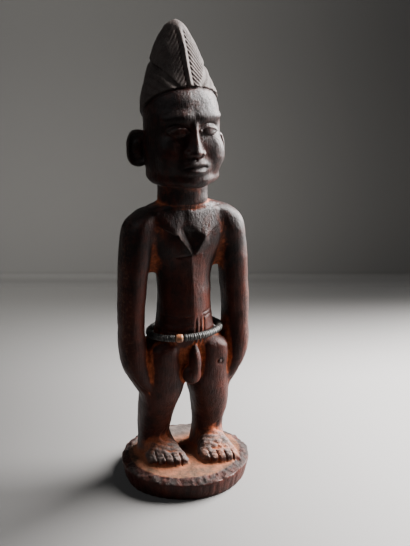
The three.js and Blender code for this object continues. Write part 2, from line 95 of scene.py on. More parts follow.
class CarvingSettings(bpy.types.PropertyGroup):
    step: bpy.props.FloatProperty(
        name="Carving step", description="Spacing of the grid that the block is carved in",
        default=0.5 * MM, min=0.3 * MM, max=1.5 * MM, precision=5, unit="LENGTH")
    triangles: bpy.props.IntProperty(
        name="Triangles", description="Triangles that the finished figure has at most",
        default=190000, min=20000, max=199000)
    row_pitch: bpy.props.FloatProperty(
        name="Hair row spacing", description="Height from one incised row of hair to the next",
        default=2.7 * MM, min=2 * MM, max=8 * MM, precision=5, unit="LENGTH")
    row_depth: bpy.props.FloatProperty(
        name="Hair row depth", description="Depth of the incised rows of hair",
        default=0.7 * MM, min=0, max=2 * MM, precision=5, unit="LENGTH")
    tool_marks: bpy.props.FloatProperty(
        name="Tool marks", description="Height of the uneven marks that the knife has left",
        default=0.16 * MM, min=0, max=0.5 * MM, precision=5, unit="LENGTH")
    erosion: bpy.props.FloatProperty(
        name="Erosion", description="Roughness of the worn wood of the toes and the base's edge",
        default=0.22 * MM, min=0, max=1 * MM, precision=5, unit="LENGTH")


class PatinaSettings(bpy.types.PropertyGroup):
    wood: bpy.props.FloatVectorProperty(
        name="Wood", description="Reddish wood where the patina is thin",
        default=(0.05, 0.0098, 0.0052), size=3, min=0, max=1, subtype="COLOR")
    patina: bpy.props.FloatVectorProperty(
        name="Patina", description="Dark skin of handling and oil",
        default=(0.0085, 0.0038, 0.0033), size=3, min=0, max=1, subtype="COLOR")
    powder: bpy.props.FloatVectorProperty(
        name="Camwood", description="Orange-red powder left in the recesses",
        default=(0.46, 0.115, 0.045), size=3, min=0, max=1, subtype="COLOR")
    # The worn colour also greys the hair, partly as dust and partly as painted sheen.
    worn: bpy.props.FloatVectorProperty(
        name="Worn wood", description="Greyed wood of the edges that rub",
        default=(0.15, 0.118, 0.105), size=3, min=0, max=1, subtype="COLOR")
    dust: bpy.props.FloatVectorProperty(
        name="Dust", description="Pale dust on the feet and the base",
        default=(0.36, 0.19, 0.11), size=3, min=0, max=1, subtype="COLOR")


class BeadSettings(bpy.types.PropertyGroup):
    discs: bpy.props.IntProperty(
        name="Discs", description="Number of disc beads on the string",
        default=94, min=10, max=200)
    tilt: bpy.props.FloatProperty(
        name="Tilt", description="How far a disc may lean on the thread",
        default=math.radians(4), min=0, max=math.radians(15), unit="ROTATION")
    black: bpy.props.FloatVectorProperty(
        name="Black disc", description="Colour of the nut-shell discs",
        default=(0.0045, 0.005, 0.005), size=3, min=0, max=1, subtype="COLOR")
    grey: bpy.props.FloatVectorProperty(
        name="Worn disc", description="Colour of the dust and wear on the discs",
        default=(0.055, 0.047, 0.04), size=3, min=0, max=1, subtype="COLOR")
    pale: bpy.props.FloatVectorProperty(
        name="Pale bead", description="Colour of the one pale bead",
        default=(0.26, 0.1, 0.045), size=3, min=0, max=1, subtype="COLOR")


class StageSettings(bpy.types.PropertyGroup):
    floor: bpy.props.FloatVectorProperty(
        name="Floor", description="Colour of the pale floor",
        default=(0.2, 0.194, 0.19), size=3, min=0, max=1, subtype="COLOR")
    backdrop: bpy.props.FloatVectorProperty(
        name="Backdrop", description="Colour of the grey backdrop",
        default=(0.08, 0.078, 0.074), size=3, min=0, max=1, subtype="COLOR")
    key: bpy.props.FloatProperty(
        name="Key light", description="Power of the large soft light", default=200, min=0, unit="POWER")
    fill: bpy.props.FloatProperty(
        name="Fill light", description="Power of the weak light from the front",
        default=2, min=0, unit="POWER")
    lens: bpy.props.FloatProperty(
        name="Lens", description="Focal length of the camera", default=60, min=10, unit="CAMERA")


# Carving tools. The block is worked in millimetres from the figure's own axis and zero height.

FAR = 6.0  # distances are kept up to here
MARGIN = 2  # room round a form that is worked along with it
FLAT = 1e-6  # a corner this near to a cut lies on it
# A level cut through a form: its height, its half width and its reach in front and behind, the place
# of its middle, and how square its front and back halves are, where 2 is an oval.
Section = namedtuple(
    "Section", "z half front back x y square_front square_back", defaults=(0, 0, 2.2, 2.2))
# A ball stretched to three half sizes, which is joined on or hollowed out.
Lump = namedtuple("Lump", "centre half blend mirror turn hollow", defaults=(False, (0, 0, 0), False))


def curve(places, values, at):
    """A smooth curve through a few values, level beyond its ends."""
    places = np.asarray(places, float)
    values = np.asarray(values, float)
    slopes = np.gradient(values, places)
    at = np.clip(at, places[0], places[-1])
    i = np.clip(np.searchsorted(places, at, side="right") - 1, 0, len(places) - 2)
    width = places[i + 1] - places[i]
    rise = values[i + 1] - values[i]
    s = (at - places[i]) / width
    start = slopes[i] * width - rise
    end = rise - slopes[i + 1] * width
    return (values[i] + s * rise + s * (1 - s) * ((1 - s) * start + s * end)).astype(np.float32)


def smooth_min(a, b, blend):
    if blend == 0:
        return np.minimum(a, b)
    near = np.maximum(blend - np.abs(a - b), 0) / blend
    return np.minimum(a, b) - near * near * blend / 4


def smooth_max(a, b, blend):
    return -smooth_min(-a, -b, blend)


def ramp(value, low, high):
    """Rises smoothly from 0 to 1 between low and high."""
    s = np.clip((value - low) / (high - low), 0, 1)
    return s * s * (3 - 2 * s)


def span(value, start, full, fading, end):
    """Rises from 0 to 1 between start and full, and falls back to 0 between fading and end."""
    return ramp(value, start, full) * ramp(-value, -end, -fading)


def bump(distance, width):
    """A round hump: 1 at distance 0, and nearly gone at half the width."""
    return np.exp(-(3 * distance / width) ** 2)


def to_nearest(value, pitch):
    """How far a value is from the nearest of evenly spaced lines."""
    return value - pitch * np.round(value / pitch)


def oval(sections, x, y, z, step, rounding):
    """Distance to a form that runs through level sections, lowest first."""
    heights = [section.z for section in sections]
    at = {
        name: curve(heights, [getattr(section, name) for section in sections], z)
        for name in Section._fields[1:]
    }
    depth = y - at["y"]
    reach = np.where(depth < 0, at["front"], at["back"])
    power = np.where(depth < 0, at["square_front"], at["square_back"])
    across = np.abs(x - at["x"]) / at["half"]
    size = (across ** power + (np.abs(depth) / reach) ** power) ** (1 / power)
    steep = np.sqrt(sum(slope ** 2 for slope in np.gradient(size, step)))
    side = (size - 1) / np.maximum(steep, 0.01)
    ends = np.maximum(heights[0] - z, z - heights[-1])
    return smooth_max(side, ends, rounding)


class Block:
    """A block of wood as a grid of distances to its surface, below zero inside."""

    def __init__(self, low, high, step):
        self.low = np.array(low, float)
        self.step = step
        self.shape = tuple(int(math.ceil((b - a) / step - 0.01)) + 1 for a, b in zip(low, high))
        self.field = np.full(self.shape, FAR, np.float32)

    def work(self, box, change):
        """Changes the field inside a box, given as its low and high x, y and z."""
        part = []
        places = []
        for axis in range(3):
            start = max(int((box[2 * axis] - self.low[axis]) / self.step), 0)
            stop = int((box[2 * axis + 1] - self.low[axis]) / self.step) + 2
            stop = min(stop, self.shape[axis])
            part.append(slice(start, stop))
            place = self.low[axis] + self.step * np.arange(start, stop)
            shape = [1, 1, 1]
            shape[axis] = -1
            places.append(place.astype(np.float32).reshape(shape))
        part = tuple(part)
        self.field[part] = change(self.field[part], *places)

    def join(self, box, form, blend):
        """Adds a form, given as the distance to it, with a soft seam."""
        self.work(box, lambda field, x, y, z: smooth_min(field, form(x, y, z), blend))

    def cut(self, box, form, blend):
        """Takes a form away, with a soft edge."""
        self.work(box, lambda field, x, y, z: smooth_max(field, -form(x, y, z), blend))

    def press(self, box, depth):
        """Moves the surface inwards by a depth that may differ from place to place."""
        self.work(box, lambda field, x, y, z: field + depth(x, y, z))

    def loft(self, sections, blend, mirror=False, rounding=1.0):
        """Adds the form that runs through level sections, on both sides where it is mirrored."""
        pad = blend + MARGIN
        right = max(s.x + s.half for s in sections) + pad
        left = -right if mirror else min(s.x - s.half for s in sections) - pad
        front = min(s.y - s.front for s in sections) - pad
        back = max(s.y + s.back for s in sections) + pad
        box = (left, right, front, back, sections[0].z - pad, sections[-1].z + pad)

        def form(x, y, z):
            return oval(sections, np.abs(x) if mirror else x, y, z, self.step, rounding)

        self.join(box, form, blend)

    def lump(self, lump):
        """Joins on or hollows out a stretched ball, on both sides where it is mirrored."""
        centre, half = lump.centre, lump.half
        turned = np.array(Euler([math.radians(angle) for angle in lump.turn]).to_matrix())
        reach = np.abs(turned) @ np.array(half) + lump.blend + MARGIN
        low, high = centre - reach, centre + reach
        left = -high[0] if lump.mirror else low[0]
        box = (left, high[0], low[1], high[1], low[2], high[2])

        def form(x, y, z):
            across = np.abs(x) if lump.mirror else x
            away = (across - centre[0], y - centre[1], z - centre[2])
            own = [sum(turned[row, axis] * away[row] for row in range(3)) for axis in range(3)]
            size = np.sqrt(sum((own[axis] / half[axis]) ** 2 for axis in range(3)))
            steep = np.sqrt(sum((own[axis] / half[axis] ** 2) ** 2 for axis in range(3)))
            return size * (size - 1) / np.maximum(steep, 0.001)

        work = self.cut if lump.hollow else self.join
        work(box, form, lump.blend)


def unevenness(shape, step, pitch, seed):
    """A smooth random field whose bumps are about a pitch apart, with a spread of 1."""
    random = np.random.default_rng(seed)
    counts = [int(math.ceil((n - 1) * step / pitch)) + 4 for n in shape]
    field = random.standard_normal(counts).astype(np.float32)
    for axis, n in enumerate(shape):
        place = np.arange(n) * step / pitch + 1
        away = np.abs(place[:, None] - np.arange(counts[axis])[None, :])
        inner = 2 / 3 - away ** 2 + away ** 3 / 2
        outer = np.clip(2 - away, 0, None) ** 3 / 6
        weights = np.where(away < 1, inner, outer).astype(np.float32)
        field = np.moveaxis(np.tensordot(weights, field, axes=(1, axis)), 0, axis)
    return field / field.std()


def blurred(field, step, radius):
    """The field averaged over about a radius, by three box blurs along each axis."""
    half = max(int(round(radius / step / 2)), 1)
    for axis in range(3):
        for _ in range(3):
            pad = [(0, 0)] * 3
            pad[axis] = (half + 1, half)
            total = np.cumsum(np.pad(field, pad, mode="edge"), axis=axis, dtype=np.float32)
            n = field.shape[axis]
            width = 2 * half + 1
            field = (np.take(total, range(width, width + n), axis)
                     - np.take(total, range(n), axis)) / width
    return field


# The forms, in millimetres from the figure's own axis and zero height.

HIPS = Section(83.4, 17.6, 16.6, 15.5)
TRUNK = [
    Section(51, 6, 8, 10, y=2),
    Section(56, 12, 10.5, 13.5, y=2),
    Section(63, 17, 12, 15.5, y=1),
    Section(73, 18, 13, 16, y=1),
    HIPS,
    Section(94, 16.4, 15.8, 15, y=-1, square_front=1.75),
    Section(107, 16, 14.8, 15, y=-1.5, square_front=1.6),
    Section(118, 16.4, 13.8, 14.5, y=-1, square_front=1.65),
    Section(129, 19.4, 13, 14.5, y=-1, square_front=1.9),
    Section(141, 24, 13.4, 13.5, square_front=2.8),
    Section(150, 28.5, 12, 13, y=0.5, square_front=2.6),
    Section(154.4, 26, 11, 12, y=0.5, square_front=2.4),
    Section(158.4, 20.5, 11.4, 12, y=0.5),
    Section(161.6, 14.6, 12.4, 13, y=0.5),
]
NECK = [
    Section(154, 12, 8, 9, y=0.5),
    Section(161, 14.2, 12.4, 13, y=0.5),
    Section(168, 13.9, 13.4, 13.8, y=0.5),
    Section(176, 14.4, 13.8, 14.5, y=0.5),
]
HEAD = [
    Section(171.2, 15, 15, 15, y=1),
    Section(173.2, 18.4, 18.6, 18, y=1),
    Section(180, 20.2, 20.8, 21, y=1),
    Section(190, 20.8, 21, 22.6, y=1),
    Section(200, 20.8, 20.6, 23, y=1.5),
    Section(210, 20.6, 21.4, 22.4, y=2),
    Section(219, 19, 20.8, 20, y=3.5),
    Section(227, 16.8, 17.4, 18, y=5.5),
    Section(236, 13, 13.6, 15, y=7.5),
    Section(244, 8, 8, 10, y=9),
]
CREST = [
    Section(196, 21.4, 22, 23.8, y=2),
    Section(206, 21.8, 22.4, 24.2, y=2),
    Section(215, 21.4, 22.2, 23.2, y=3),
    Section(223, 20, 20.4, 21.6, y=4.5, square_front=2),
    Section(230, 17.9, 18.6, 19.2, y=6.5, square_front=1.75),
    Section(238, 15, 16.4, 16.8, y=8.5, square_front=1.6),
    Section(246, 11.8, 13.3, 13.4, y=9.8, square_front=1.6),
    Section(253, 7.9, 8.9, 9.2, y=10.4, square_front=1.65),
    Section(257.5, 4.4, 4.8, 5.4, y=10.4, square_front=1.8),
    Section(260, 1, 1, 1.4, y=10.2),
]
ARM = [
    Section(42, 2, 3, 3, x=22.6, y=-0.5),
    Section(46, 4, 6.5, 6.5, x=24.2, y=-0.5),
    Section(53, 6, 9.5, 9, x=26.6, y=-1),
    Section(61, 7.3, 11, 10.5, x=29.6, y=-1),
    Section(69, 8, 11.6, 11.5, x=31.8, y=-0.5),
    Section(78, 7.9, 11.5, 11.5, x=32.6),
    Section(88, 7.4, 11, 11, x=32.8),
    Section(100, 7.6, 11, 11, x=32.5),
    Section(112, 7.8, 11.3, 11.3, x=31.6),
    Section(124, 8.2, 11.7, 11.7, x=30.4),
    Section(136, 8.8, 12, 12, x=28.9),
    Section(144, 9.2, 12, 12, x=27.6),
    Section(149.6, 9, 11, 11, x=26.2),
    Section(153.4, 7.8, 9.8, 9.8, x=24.4),
    Section(156.6, 5.6, 7.8, 7.8, x=21.4),
    Section(158.6, 2.6, 4, 4, x=19),
]
ARMPIT = [
    Section(120.6, 4.6, 2.5, 3.5, x=20.4, y=1.5),
    Section(125, 6, 5, 7, x=20.6, y=1.5),
    Section(132, 6.4, 7, 9.6, x=20.8, y=1.5),
    Section(144, 7, 7.5, 11, x=21, y=1.5),
]
WEB = [
    Section(45, 5, 5, 6, x=20, y=2.5),
    Section(56, 6, 7, 8, x=22, y=2.5),
    Section(68, 6, 6, 8, x=23.5, y=2.5),
    Section(76, 6, 4, 6, x=24, y=2.5),
    Section(79, 5, 2, 4, x=24, y=2.5),
]
SINK = 1
LEG = [
    Section(-SINK, 10.6, 8.6, 11.2, x=17.2, y=6),
    Section(4, 9.9, 8.4, 11, x=17.2, y=6),
    Section(10, 9.3, 8.4, 11, x=17.4, y=6),
    Section(18, 9.5, 9.4, 12, x=17.5, y=5),
    Section(28, 10.4, 11.4, 13, x=17.2, y=3.5),
    Section(38, 11.7, 13, 13.5, x=16.3, y=1.6, square_front=2.3),
    Section(45, 12.7, 14, 13.8, x=15.1, y=0.8),
    Section(53, 13, 14.6, 14, x=14.2),
    Section(61, 11.2, 15.2, 14, x=14.8, square_front=2.5),
    Section(70, 9.4, 15.4, 13.6, x=15.4, square_front=3),
    Section(77, 8.4, 14.4, 12.6, x=14.4, square_front=3),
    Section(80.4, 5.6, 11, 9, x=13, square_front=3),
]
LEGS_BOX = (-34, 34, -20, 26, -4, 86)
BUTTOCKS = Lump((9, 9.6, 69.5), (9.4, 9.4, 13), 2, mirror=True)
KNEE = 45
ANKLES_BACK = {"right": 4, "left": 0}
FOOT_LENGTH = 38
FOOT_BEHIND = 11
FOOT_WIDTH = 22.8
TOE_LENGTH = 9
TOE_COUNT = 5
LONGEST_TOE = 1.2
TOE_RECEDE = 0.6
TOE_CUT_DEPTH = 1.5
TOE_CUT_WIDTH = 1.4
FootPlace = namedtuple("FootPlace", "x y turn slant")
FEET = [FootPlace(-14, 10, -2, 0.5), FootPlace(17.4, 4.6, -2, -0.3)]


def leg(side):
    """The leg's sections for one side, with its ankle set back."""
    sign = 1 if side == "left" else -1
    back = ANKLES_BACK[side]
    return [
        section._replace(x=sign * section.x, y=section.y + back * max(0, 1 - section.z / KNEE))
        for section in LEG
    ]


def carve_trunk(block):
    def legs(x, y, z):
        return np.minimum(*(oval(leg(side), x, y, z, block.step, 1) for side in ANKLES_BACK))

    block.loft(TRUNK, blend=1)
    block.loft(NECK, blend=0.8)
    block.loft(ARM, blend=3, mirror=True)
    block.loft(ARMPIT, blend=3, mirror=True)
    block.join(LEGS_BOX, legs, 2.5)
    block.loft(WEB, blend=2.5, mirror=True)
    block.lump(BUTTOCKS)


# The breasts are cut flat and come to a point each, the left one lower than the right. The wall of
# the right one runs down to the keel in a long wedge, and a hollow lies between it and the left one.
TIPS = {"right": (-9.6, -16, 144.4), "left": (7.8, -16.4, 142.6)}
BREASTS = [
    [TIPS["right"], (-6.4, -13.7, 149.8), (-3.4, -11.8, 152.6), (-20.6, -8.4, 152), (-4.4, -10.8, 158.4),
     (-17.5, -8.8, 157.4), (-9, -4, 147), (-10, -4, 156)],
    [TIPS["left"], (2.4, -14.8, 149.8), (20.6, -8.4, 150.5), (1.8, -12.2, 157.6), (17.5, -8.8, 157.4),
     (9, -4, 144), (-2, -14.1, 149.8), (-1.5, -11.6, 157.6), (-1, -8, 151), (10, -4, 156)],
]
WEDGE = [(0, -14.8, 132.5), (-9.2, -15.6, 144.6), (-6.4, -13.6, 149.8), (-3.2, -11.4, 152.6),
         (1, -8, 150.5), (-6, -8, 156), (-2, -8, 138)]
UPPER_CHEST = [(-6.4, -13.6, 149.6), (-4.4, -10.8, 157.8), (1.5, -14.5, 149.4), (1, -11.9, 157.6),
               (-4, -12, 146.4), (1.5, -13, 146), (-6, -8, 147), (1, -8, 147), (1, -8, 158.5)]
FAR_WEDGE = [(7.8, -16.4, 142.8), (2.2, -14.8, 133), (-1.5, -11.4, 149.6), (12, -11, 134), (13, -10.5, 149),
             (8, -14.4, 148.6), (0, -8, 134), (0, -8, 149.6)]
CHEST_HOLLOW = Lump((2.5, -17.6, 143), (5, 5.4, 8.5), 1.5, hollow=True)
BELLY_TOP = 132.8
BELLY_STEP = 0.25
BELLY_KEEL_RISE = 0.3
BELLY_KEEL_WIDTH = 4.6
SPINE_DEPTH = 0.9
SPINE_WIDTH = 3.4
NECK_SEAM_HEIGHT = 160.8
NECK_SEAM_DEPTH = 0.35
NECK_SEAM_WIDTH = 1.6
# Level scars are given by their height and where they start and end, upright ones by their place.
LEVEL_SCARS = [(132, -9, -0.5), (96.2, -15, -1), (91.2, -14, -1), (87.4, -14, -1),
               (97, 6, 14), (94.6, 7, 14)]
LEVEL_SCAR_DEPTH = 0.5
LEVEL_SCAR_RISE = 0.04
UPRIGHT_SCARS = [1.2, 4, 6.6]
UPRIGHT_SCAR_DEPTH = 0.8
UPRIGHT_SCAR_LEAN = 0.03
UPRIGHT_SCAR_MIDDLE = 86
SCAR_WIDTH = 1.9


def facets(block, corners, blend, rounding=0.5):
    """Joins on the form of flat cuts that has these corners."""
    corners = np.array(corners, float)
    planes = []
    for a, b, c in itertools.combinations(corners, 3):
        normal = np.cross(b - a, c - a)
        normal /= np.linalg.norm(normal)
        side = (corners - a) @ normal
        if side.max() < FLAT or side.min() > -FLAT:
            out = normal if side.max() < FLAT else -normal
            planes.append((out, out @ a))

    def form(x, y, z):
        distances = [out[0] * x + out[1] * y + out[2] * z - reach for out, reach in planes]
        whole = distances[0]
        for distance in distances[1:]:
            whole = smooth_max(whole, distance, rounding)
        return whole

    low, high = corners.min(axis=0) - MARGIN, corners.max(axis=0) + MARGIN
    block.join((low[0], high[0], low[1], high[1], low[2], high[2]), form, blend)


def scars(x, y, z):
    """Incised lines on the belly: level ones at the sides of the keel, and upright ones below."""
    depth = 0
    for height, start, end in LEVEL_SCARS:
        away = z - height - LEVEL_SCAR_RISE * x
        inside = span(x, start - 1, start + 1, end - 1, end + 1)
        depth = depth + LEVEL_SCAR_DEPTH * bump(away, SCAR_WIDTH) * inside
    for place in UPRIGHT_SCARS:
        away = x - place - UPRIGHT_SCAR_LEAN * (z - UPRIGHT_SCAR_MIDDLE)
        depth = depth + UPRIGHT_SCAR_DEPTH * bump(away, SCAR_WIDTH) * span(z, 76, 80, 93, 97)
    return depth * (y < 0)


def belly_step(x, y, z):
    """Sets the wood over the belly's top edge a step deeper, on the left of the keel."""
    return BELLY_STEP * span(z, BELLY_TOP - 0.4, BELLY_TOP + 0.4, 134, 140) * span(x, -0.8, 0.6, 11, 15)


def belly_keel(x, y, z):
    return -BELLY_KEEL_RISE * bump(x, BELLY_KEEL_WIDTH) * span(z, 108, 120, 128, 134)


def spine(x, y, z):
    return SPINE_DEPTH * bump(x, SPINE_WIDTH) * span(z, 98, 106, 146, 152)


def neck_seam(x, y, z):
    return NECK_SEAM_DEPTH * bump(z - NECK_SEAM_HEIGHT, NECK_SEAM_WIDTH)


def carve_chest(block):
    block.lump(CHEST_HOLLOW)
    block.press((-2, 17, -20, 0, 130, 142), belly_step)
    for corners in BREASTS:
        facets(block, corners, blend=0.8, rounding=0.7)
    facets(block, WEDGE, blend=0.6)
    facets(block, FAR_WEDGE, blend=0.8, rounding=0.7)
    facets(block, UPPER_CHEST, blend=1, rounding=0.7)
    block.press((-17, 17, -19, 0, 74, 136), scars)
    block.press((-4, 4, -20, -8, 104, 138), belly_keel)
    block.press((-4, 4, 6, 18, 96, 154), spine)
    block.press((-18, 18, -16, 18, 156, 164), neck_seam)


SEX = [
    Lump((1.3, -14.6, 68), (3.9, 4.6, 10.5), 1.2, turn=(-8, 0, 0)),
    Lump((-0.4, -13.8, 59.4), (5.8, 4.8, 6.2), 1),
]
KNOT = (17.2, 65.2)
KNOT_RADIUS = 1.7
KNOT_DEPTH = 0.6
KNOT_BOSS = 0.3
FINGER_WIDTH = 4.2
FINGER_START = -0.6
FINGER_LINE_DEPTH = 0.5
FINGER_LINE_WIDTH = 1.9


def knot(x, y, z):
    """The knot in the left thigh: a sunken ring round a low boss."""
    away = np.hypot(x - KNOT[0], z - KNOT[1])
    return (KNOT_DEPTH * bump(away - KNOT_RADIUS, 1.6) - KNOT_BOSS * bump(away, 1.8)) * (y < 0)


def fingers(x, y, z):
    """Shallow lines that part the fingers on the outer face of each hand."""
    inside = span(z, 45, 49, 58, 64) * ramp(np.abs(x), 23, 25)
    return FINGER_LINE_DEPTH * bump(to_nearest(y - FINGER_START, FINGER_WIDTH), FINGER_LINE_WIDTH) * inside


def carve_details(block):
    block.press((10, 24, -20, 0, 62, 76), knot)
    block.press((-40, 40, -12, 11, 44, 66), fingers)


HAIRLINE_SLOPE = math.radians(33)
HAIRLINE_Y = -15.5
HAIRLINE_Z = 228
HAIRLINE_GROOVE = 0.7
# The flap of hair under the crest: the height of its upper border at each turn from the front.
BORDER_TURNS = [0, 14, 30, 52, 90, 180]
BORDER_HEIGHTS = [222.5, 226, 229.6, 234, 237.4, 239.5]
LIP_DEPTH = 1.15
ROW_FALL = 1.05
ROW_WIDTH = 1.45
RIGHT_FAR_WEAR = 0.82  # of the rows on the right side, away from the keel
RIGHT_WEAR = 0.15  # of all the rows on the right side
SIDE_PITCH = 4.4
SIDE_WIDTH = 2.4
SIDE_SHARE = 0.75
KEEL_RISE = 0.7
KEEL_WIDTH = 2.4
GUTTER_PLACE = 2
GUTTER_DEPTH = 0.5
GUTTER_WIDTH = 1.7


def over_hairline(y, z):
    """How far a place lies above the slanted plane in which the hair ends."""
    return (y - HAIRLINE_Y) * math.sin(HAIRLINE_SLOPE) + (z - HAIRLINE_Z) * math.cos(HAIRLINE_SLOPE)


def hair_rows(pitch, row_depth):
    """The depth of the carving on the hair: its rows, its flap, and the keel between two gutters."""
    heights = [section.z for section in CREST]

    def depth(x, y, z):
        middle, half, front, back = (
            curve(heights, [getattr(section, name) for section in CREST], z)
            for name in ("y", "half", "front", "back"))
        reach = np.where(y < middle, front, back)
        turn = np.arctan2(np.abs(x) / half, (middle - y) / reach)
        turned = np.degrees(turn)
        away = turn * (half + reach) / 2
        border = curve(BORDER_TURNS, BORDER_HEIGHTS, turned)
        upper = ramp(z - border, -0.5, 0.5)
        crown = ramp(-z, -258, -252)

        # The rows fall away from the keel, and are worn on the right side.
        worn = 1 - RIGHT_FAR_WEAR * ramp(away, 6.5, 9.5) * (x < 0) * ramp(z, 226, 232)
        row = to_nearest(z + ROW_FALL * away, pitch) / math.hypot(1, ROW_FALL)
        rows = bump(row, ROW_WIDTH) * upper * crown * worn * ramp(np.abs(x), 1.2, 2.6)
        rows = rows * (1 - RIGHT_WEAR * (x < 0))

        # The flap has wider rows of its own, and is cut back under the lip of its border.
        below = (1 - upper) * ramp(-turned, -100, -74)
        side = bump(to_nearest(z - border + SIDE_PITCH / 2, SIDE_PITCH), SIDE_WIDTH) * below * SIDE_SHARE
        lip = (1 - upper) * bump(np.minimum(z - border + 1, 0), 5) * ramp(turned, 6, 30)

        facing = y < middle
        keel = bump(x, KEEL_WIDTH) * facing * ramp(z, 221, 226) * crown
        gutter = bump(np.abs(x) - GUTTER_PLACE, GUTTER_WIDTH) * facing * ramp(z, 223, 227) * crown
        return row_depth * (rows + side) + LIP_DEPTH * lip + GUTTER_DEPTH * gutter - KEEL_RISE * keel

    return depth


def carve_hair(block, carving):
    block.loft(HEAD, blend=0.8, rounding=2.5)
    crest = Block(block.low, block.low + block.step * (np.array(block.shape) - 1), block.step)
    crest.loft(CREST, blend=0, rounding=1)
    rows = hair_rows(carving.row_pitch / MM, carving.row_depth / MM)
    crest.press((-26, 26, -24, 30, 194, 261), rows)
    crest.work((-30, 30, -30, 34, 190, 262),
               lambda field, x, y, z: smooth_max(field, -over_hairline(y, z), 0.4))
    block.press((-30, 30, -30, 34, 190, 232),
                lambda x, y, z: HAIRLINE_GROOVE * bump(over_hairline(y, z) + 0.7, 2))
    block.field = smooth_min(block.field, crest.field, 0.15)


# The face is a calm mask of plain proportions.
EYE = (8.7, 203)
EYE_HALF = 5.6
LID_ARCHES = (2.3, 1.7)  # of the upper and the lower lid
LID_RISES = (0.75, 0.5)
LID_FALL = 0.25
MOUTH_HEIGHT = 183.9
MOUTH_HALF = 7
MOUTH_BEND = 0.05
EYES = [
    Lump((8.9, -21.4, 203.2), (7, 3.4, 5.2), 2.2, mirror=True, turn=(0, 0, 18), hollow=True),
    Lump((EYE[0], -15.3, EYE[1]), (5.4, 4, 3.4), 0.5, mirror=True, turn=(0, 0, 20)),
]
CHEEKS = Lump((12.2, -13.2, 190.5), (6.8, 6, 9.5), 4.5, mirror=True)
BROWS = Lump((9, -15.5, 210.4), (8.6, 3.8, 3), 3.4, mirror=True, turn=(0, 3, 22))
NOSE = [
    Section(188.8, 3, 3.4, 3, y=-19, square_front=2),
    Section(191.5, 4.2, 5.8, 3, y=-19, square_front=2),
    Section(195, 3.3, 5.4, 3, y=-19, square_front=2),
    Section(201, 2, 3.6, 3, y=-19, square_front=2),
    Section(211, 2.4, 1.6, 3, y=-18, square_front=2),
]
NOSE_WINGS = Lump((3.7, -20.4, 191.4), (2.3, 2.9, 2.2), 0.9, mirror=True)
NOSTRILS = Lump((2.1, -22.6, 188.7), (1.1, 1.5, 1), 0.5, mirror=True, hollow=True)
CHIN = Lump((0, -16.4, 176.4), (9, 4.6, 4.6), 3)
JAW = Lump((0, -17.4, 184), (9, 4.6, 5.6), 2.5)
LIPS = [
    Lump((0, -19.4, 185.9), (6.8, 3.9, 2.2), 0.7),
    Lump((0, -19.2, 181.6), (6, 3.8, 2.3), 0.7),
]


def eyelids(x, y, z):
    """Ridges of the lids along an almond, with the slit between them."""
    share = (np.abs(x) - EYE[0]) / EYE_HALF
    arch = np.clip(1 - share ** 2, 0, None)
    inside = ramp(-np.abs(share), -1.12, -0.95)
    upper = EYE[1] + LID_ARCHES[0] * arch - LID_FALL * share
    lower = EYE[1] - LID_ARCHES[1] * arch - LID_FALL * share
    lids = LID_RISES[0] * bump(z - upper, 2.4) + LID_RISES[1] * bump(z - lower, 2.1)
    crease = 0.5 * bump(z - upper - 1.9, 1.9)
    return (crease - lids) * inside * (y < -6)


def mouth(x, y, z):
    """The parting of the lips, and the groove that runs down to them."""
    corner = ramp(-np.abs(x), -7.4, -5.6)
    parting = 0.9 * bump(z - MOUTH_HEIGHT + MOUTH_BEND * x ** 2 / MOUTH_HALF, 1.7) * corner
    groove = 0.35 * bump(x, 2.4) * span(z, 186.8, 187.6, 188.6, 190)
    return (parting + groove) * (y < -10)


def carve_face(block):
    socket, ball = EYES
    for lump in (socket, CHEEKS, BROWS, ball):
        block.lump(lump)
    block.press((-16, 16, -26, -6, 197, 209), eyelids)
    block.loft(NOSE, blend=1.6, rounding=1.6)
    for lump in (NOSE_WINGS, NOSTRILS, CHIN, JAW, *LIPS):
        block.lump(lump)
    block.press((-9, 9, -26, -10, 180, 191), mouth)


# The ears are plates that stand out sideways, each with a sunken channel inside its rim.
EAR_HALF = 6.2
EAR_TALL = 10.4
EAR_THICK = 3.8
EAR_PLACE = (22.6, 10.2)
EAR_LEAN = math.radians(22)
EAR_SQUARE = 2.7
EAR_ROUNDING = 1.6
EAR_HEIGHTS = {"right": 191.3, "left": 187.6}


def carve_ears(block):
    cos, sin = math.cos(EAR_LEAN), math.sin(EAR_LEAN)
    for side, height in EAR_HEIGHTS.items():
        sign = 1 if side == "left" else -1

        def form(x, y, z):
            out = (sign * x - EAR_PLACE[0]) * cos + (y - EAR_PLACE[1]) * sin
            behind = (y - EAR_PLACE[1]) * cos - (sign * x - EAR_PLACE[0]) * sin
            size = ((np.abs(out) / EAR_HALF) ** EAR_SQUARE
                    + (np.abs(z - height) / EAR_TALL) ** EAR_SQUARE) ** (1 / EAR_SQUARE)
            edge = (size - 1) * EAR_HALF
            plate = smooth_max(edge, np.abs(behind + EAR_THICK / 2) - EAR_THICK / 2, EAR_ROUNDING)
            facing = ramp(-behind, 1.8, 2.8)
            channel = 2 * bump(edge + 2.6, 2.6) * ramp(out, -5.5, -3.5)
            shell = 0.9 * bump(np.hypot(out + 2.4, (z - height) / 1.6), 4.6)
            return plate + (channel + shell) * facing

        low, high = sorted((sign * 14, sign * 32))
        block.join((low, high, 2, 18, height - 13, height + 13), form, 0.8)


def on_base(x, y, z):
    """A place in the block, told from the middle of the base's top."""
    return x + FIGURE_PLACE[0], y + FIGURE_PLACE[1], z - FOOTING


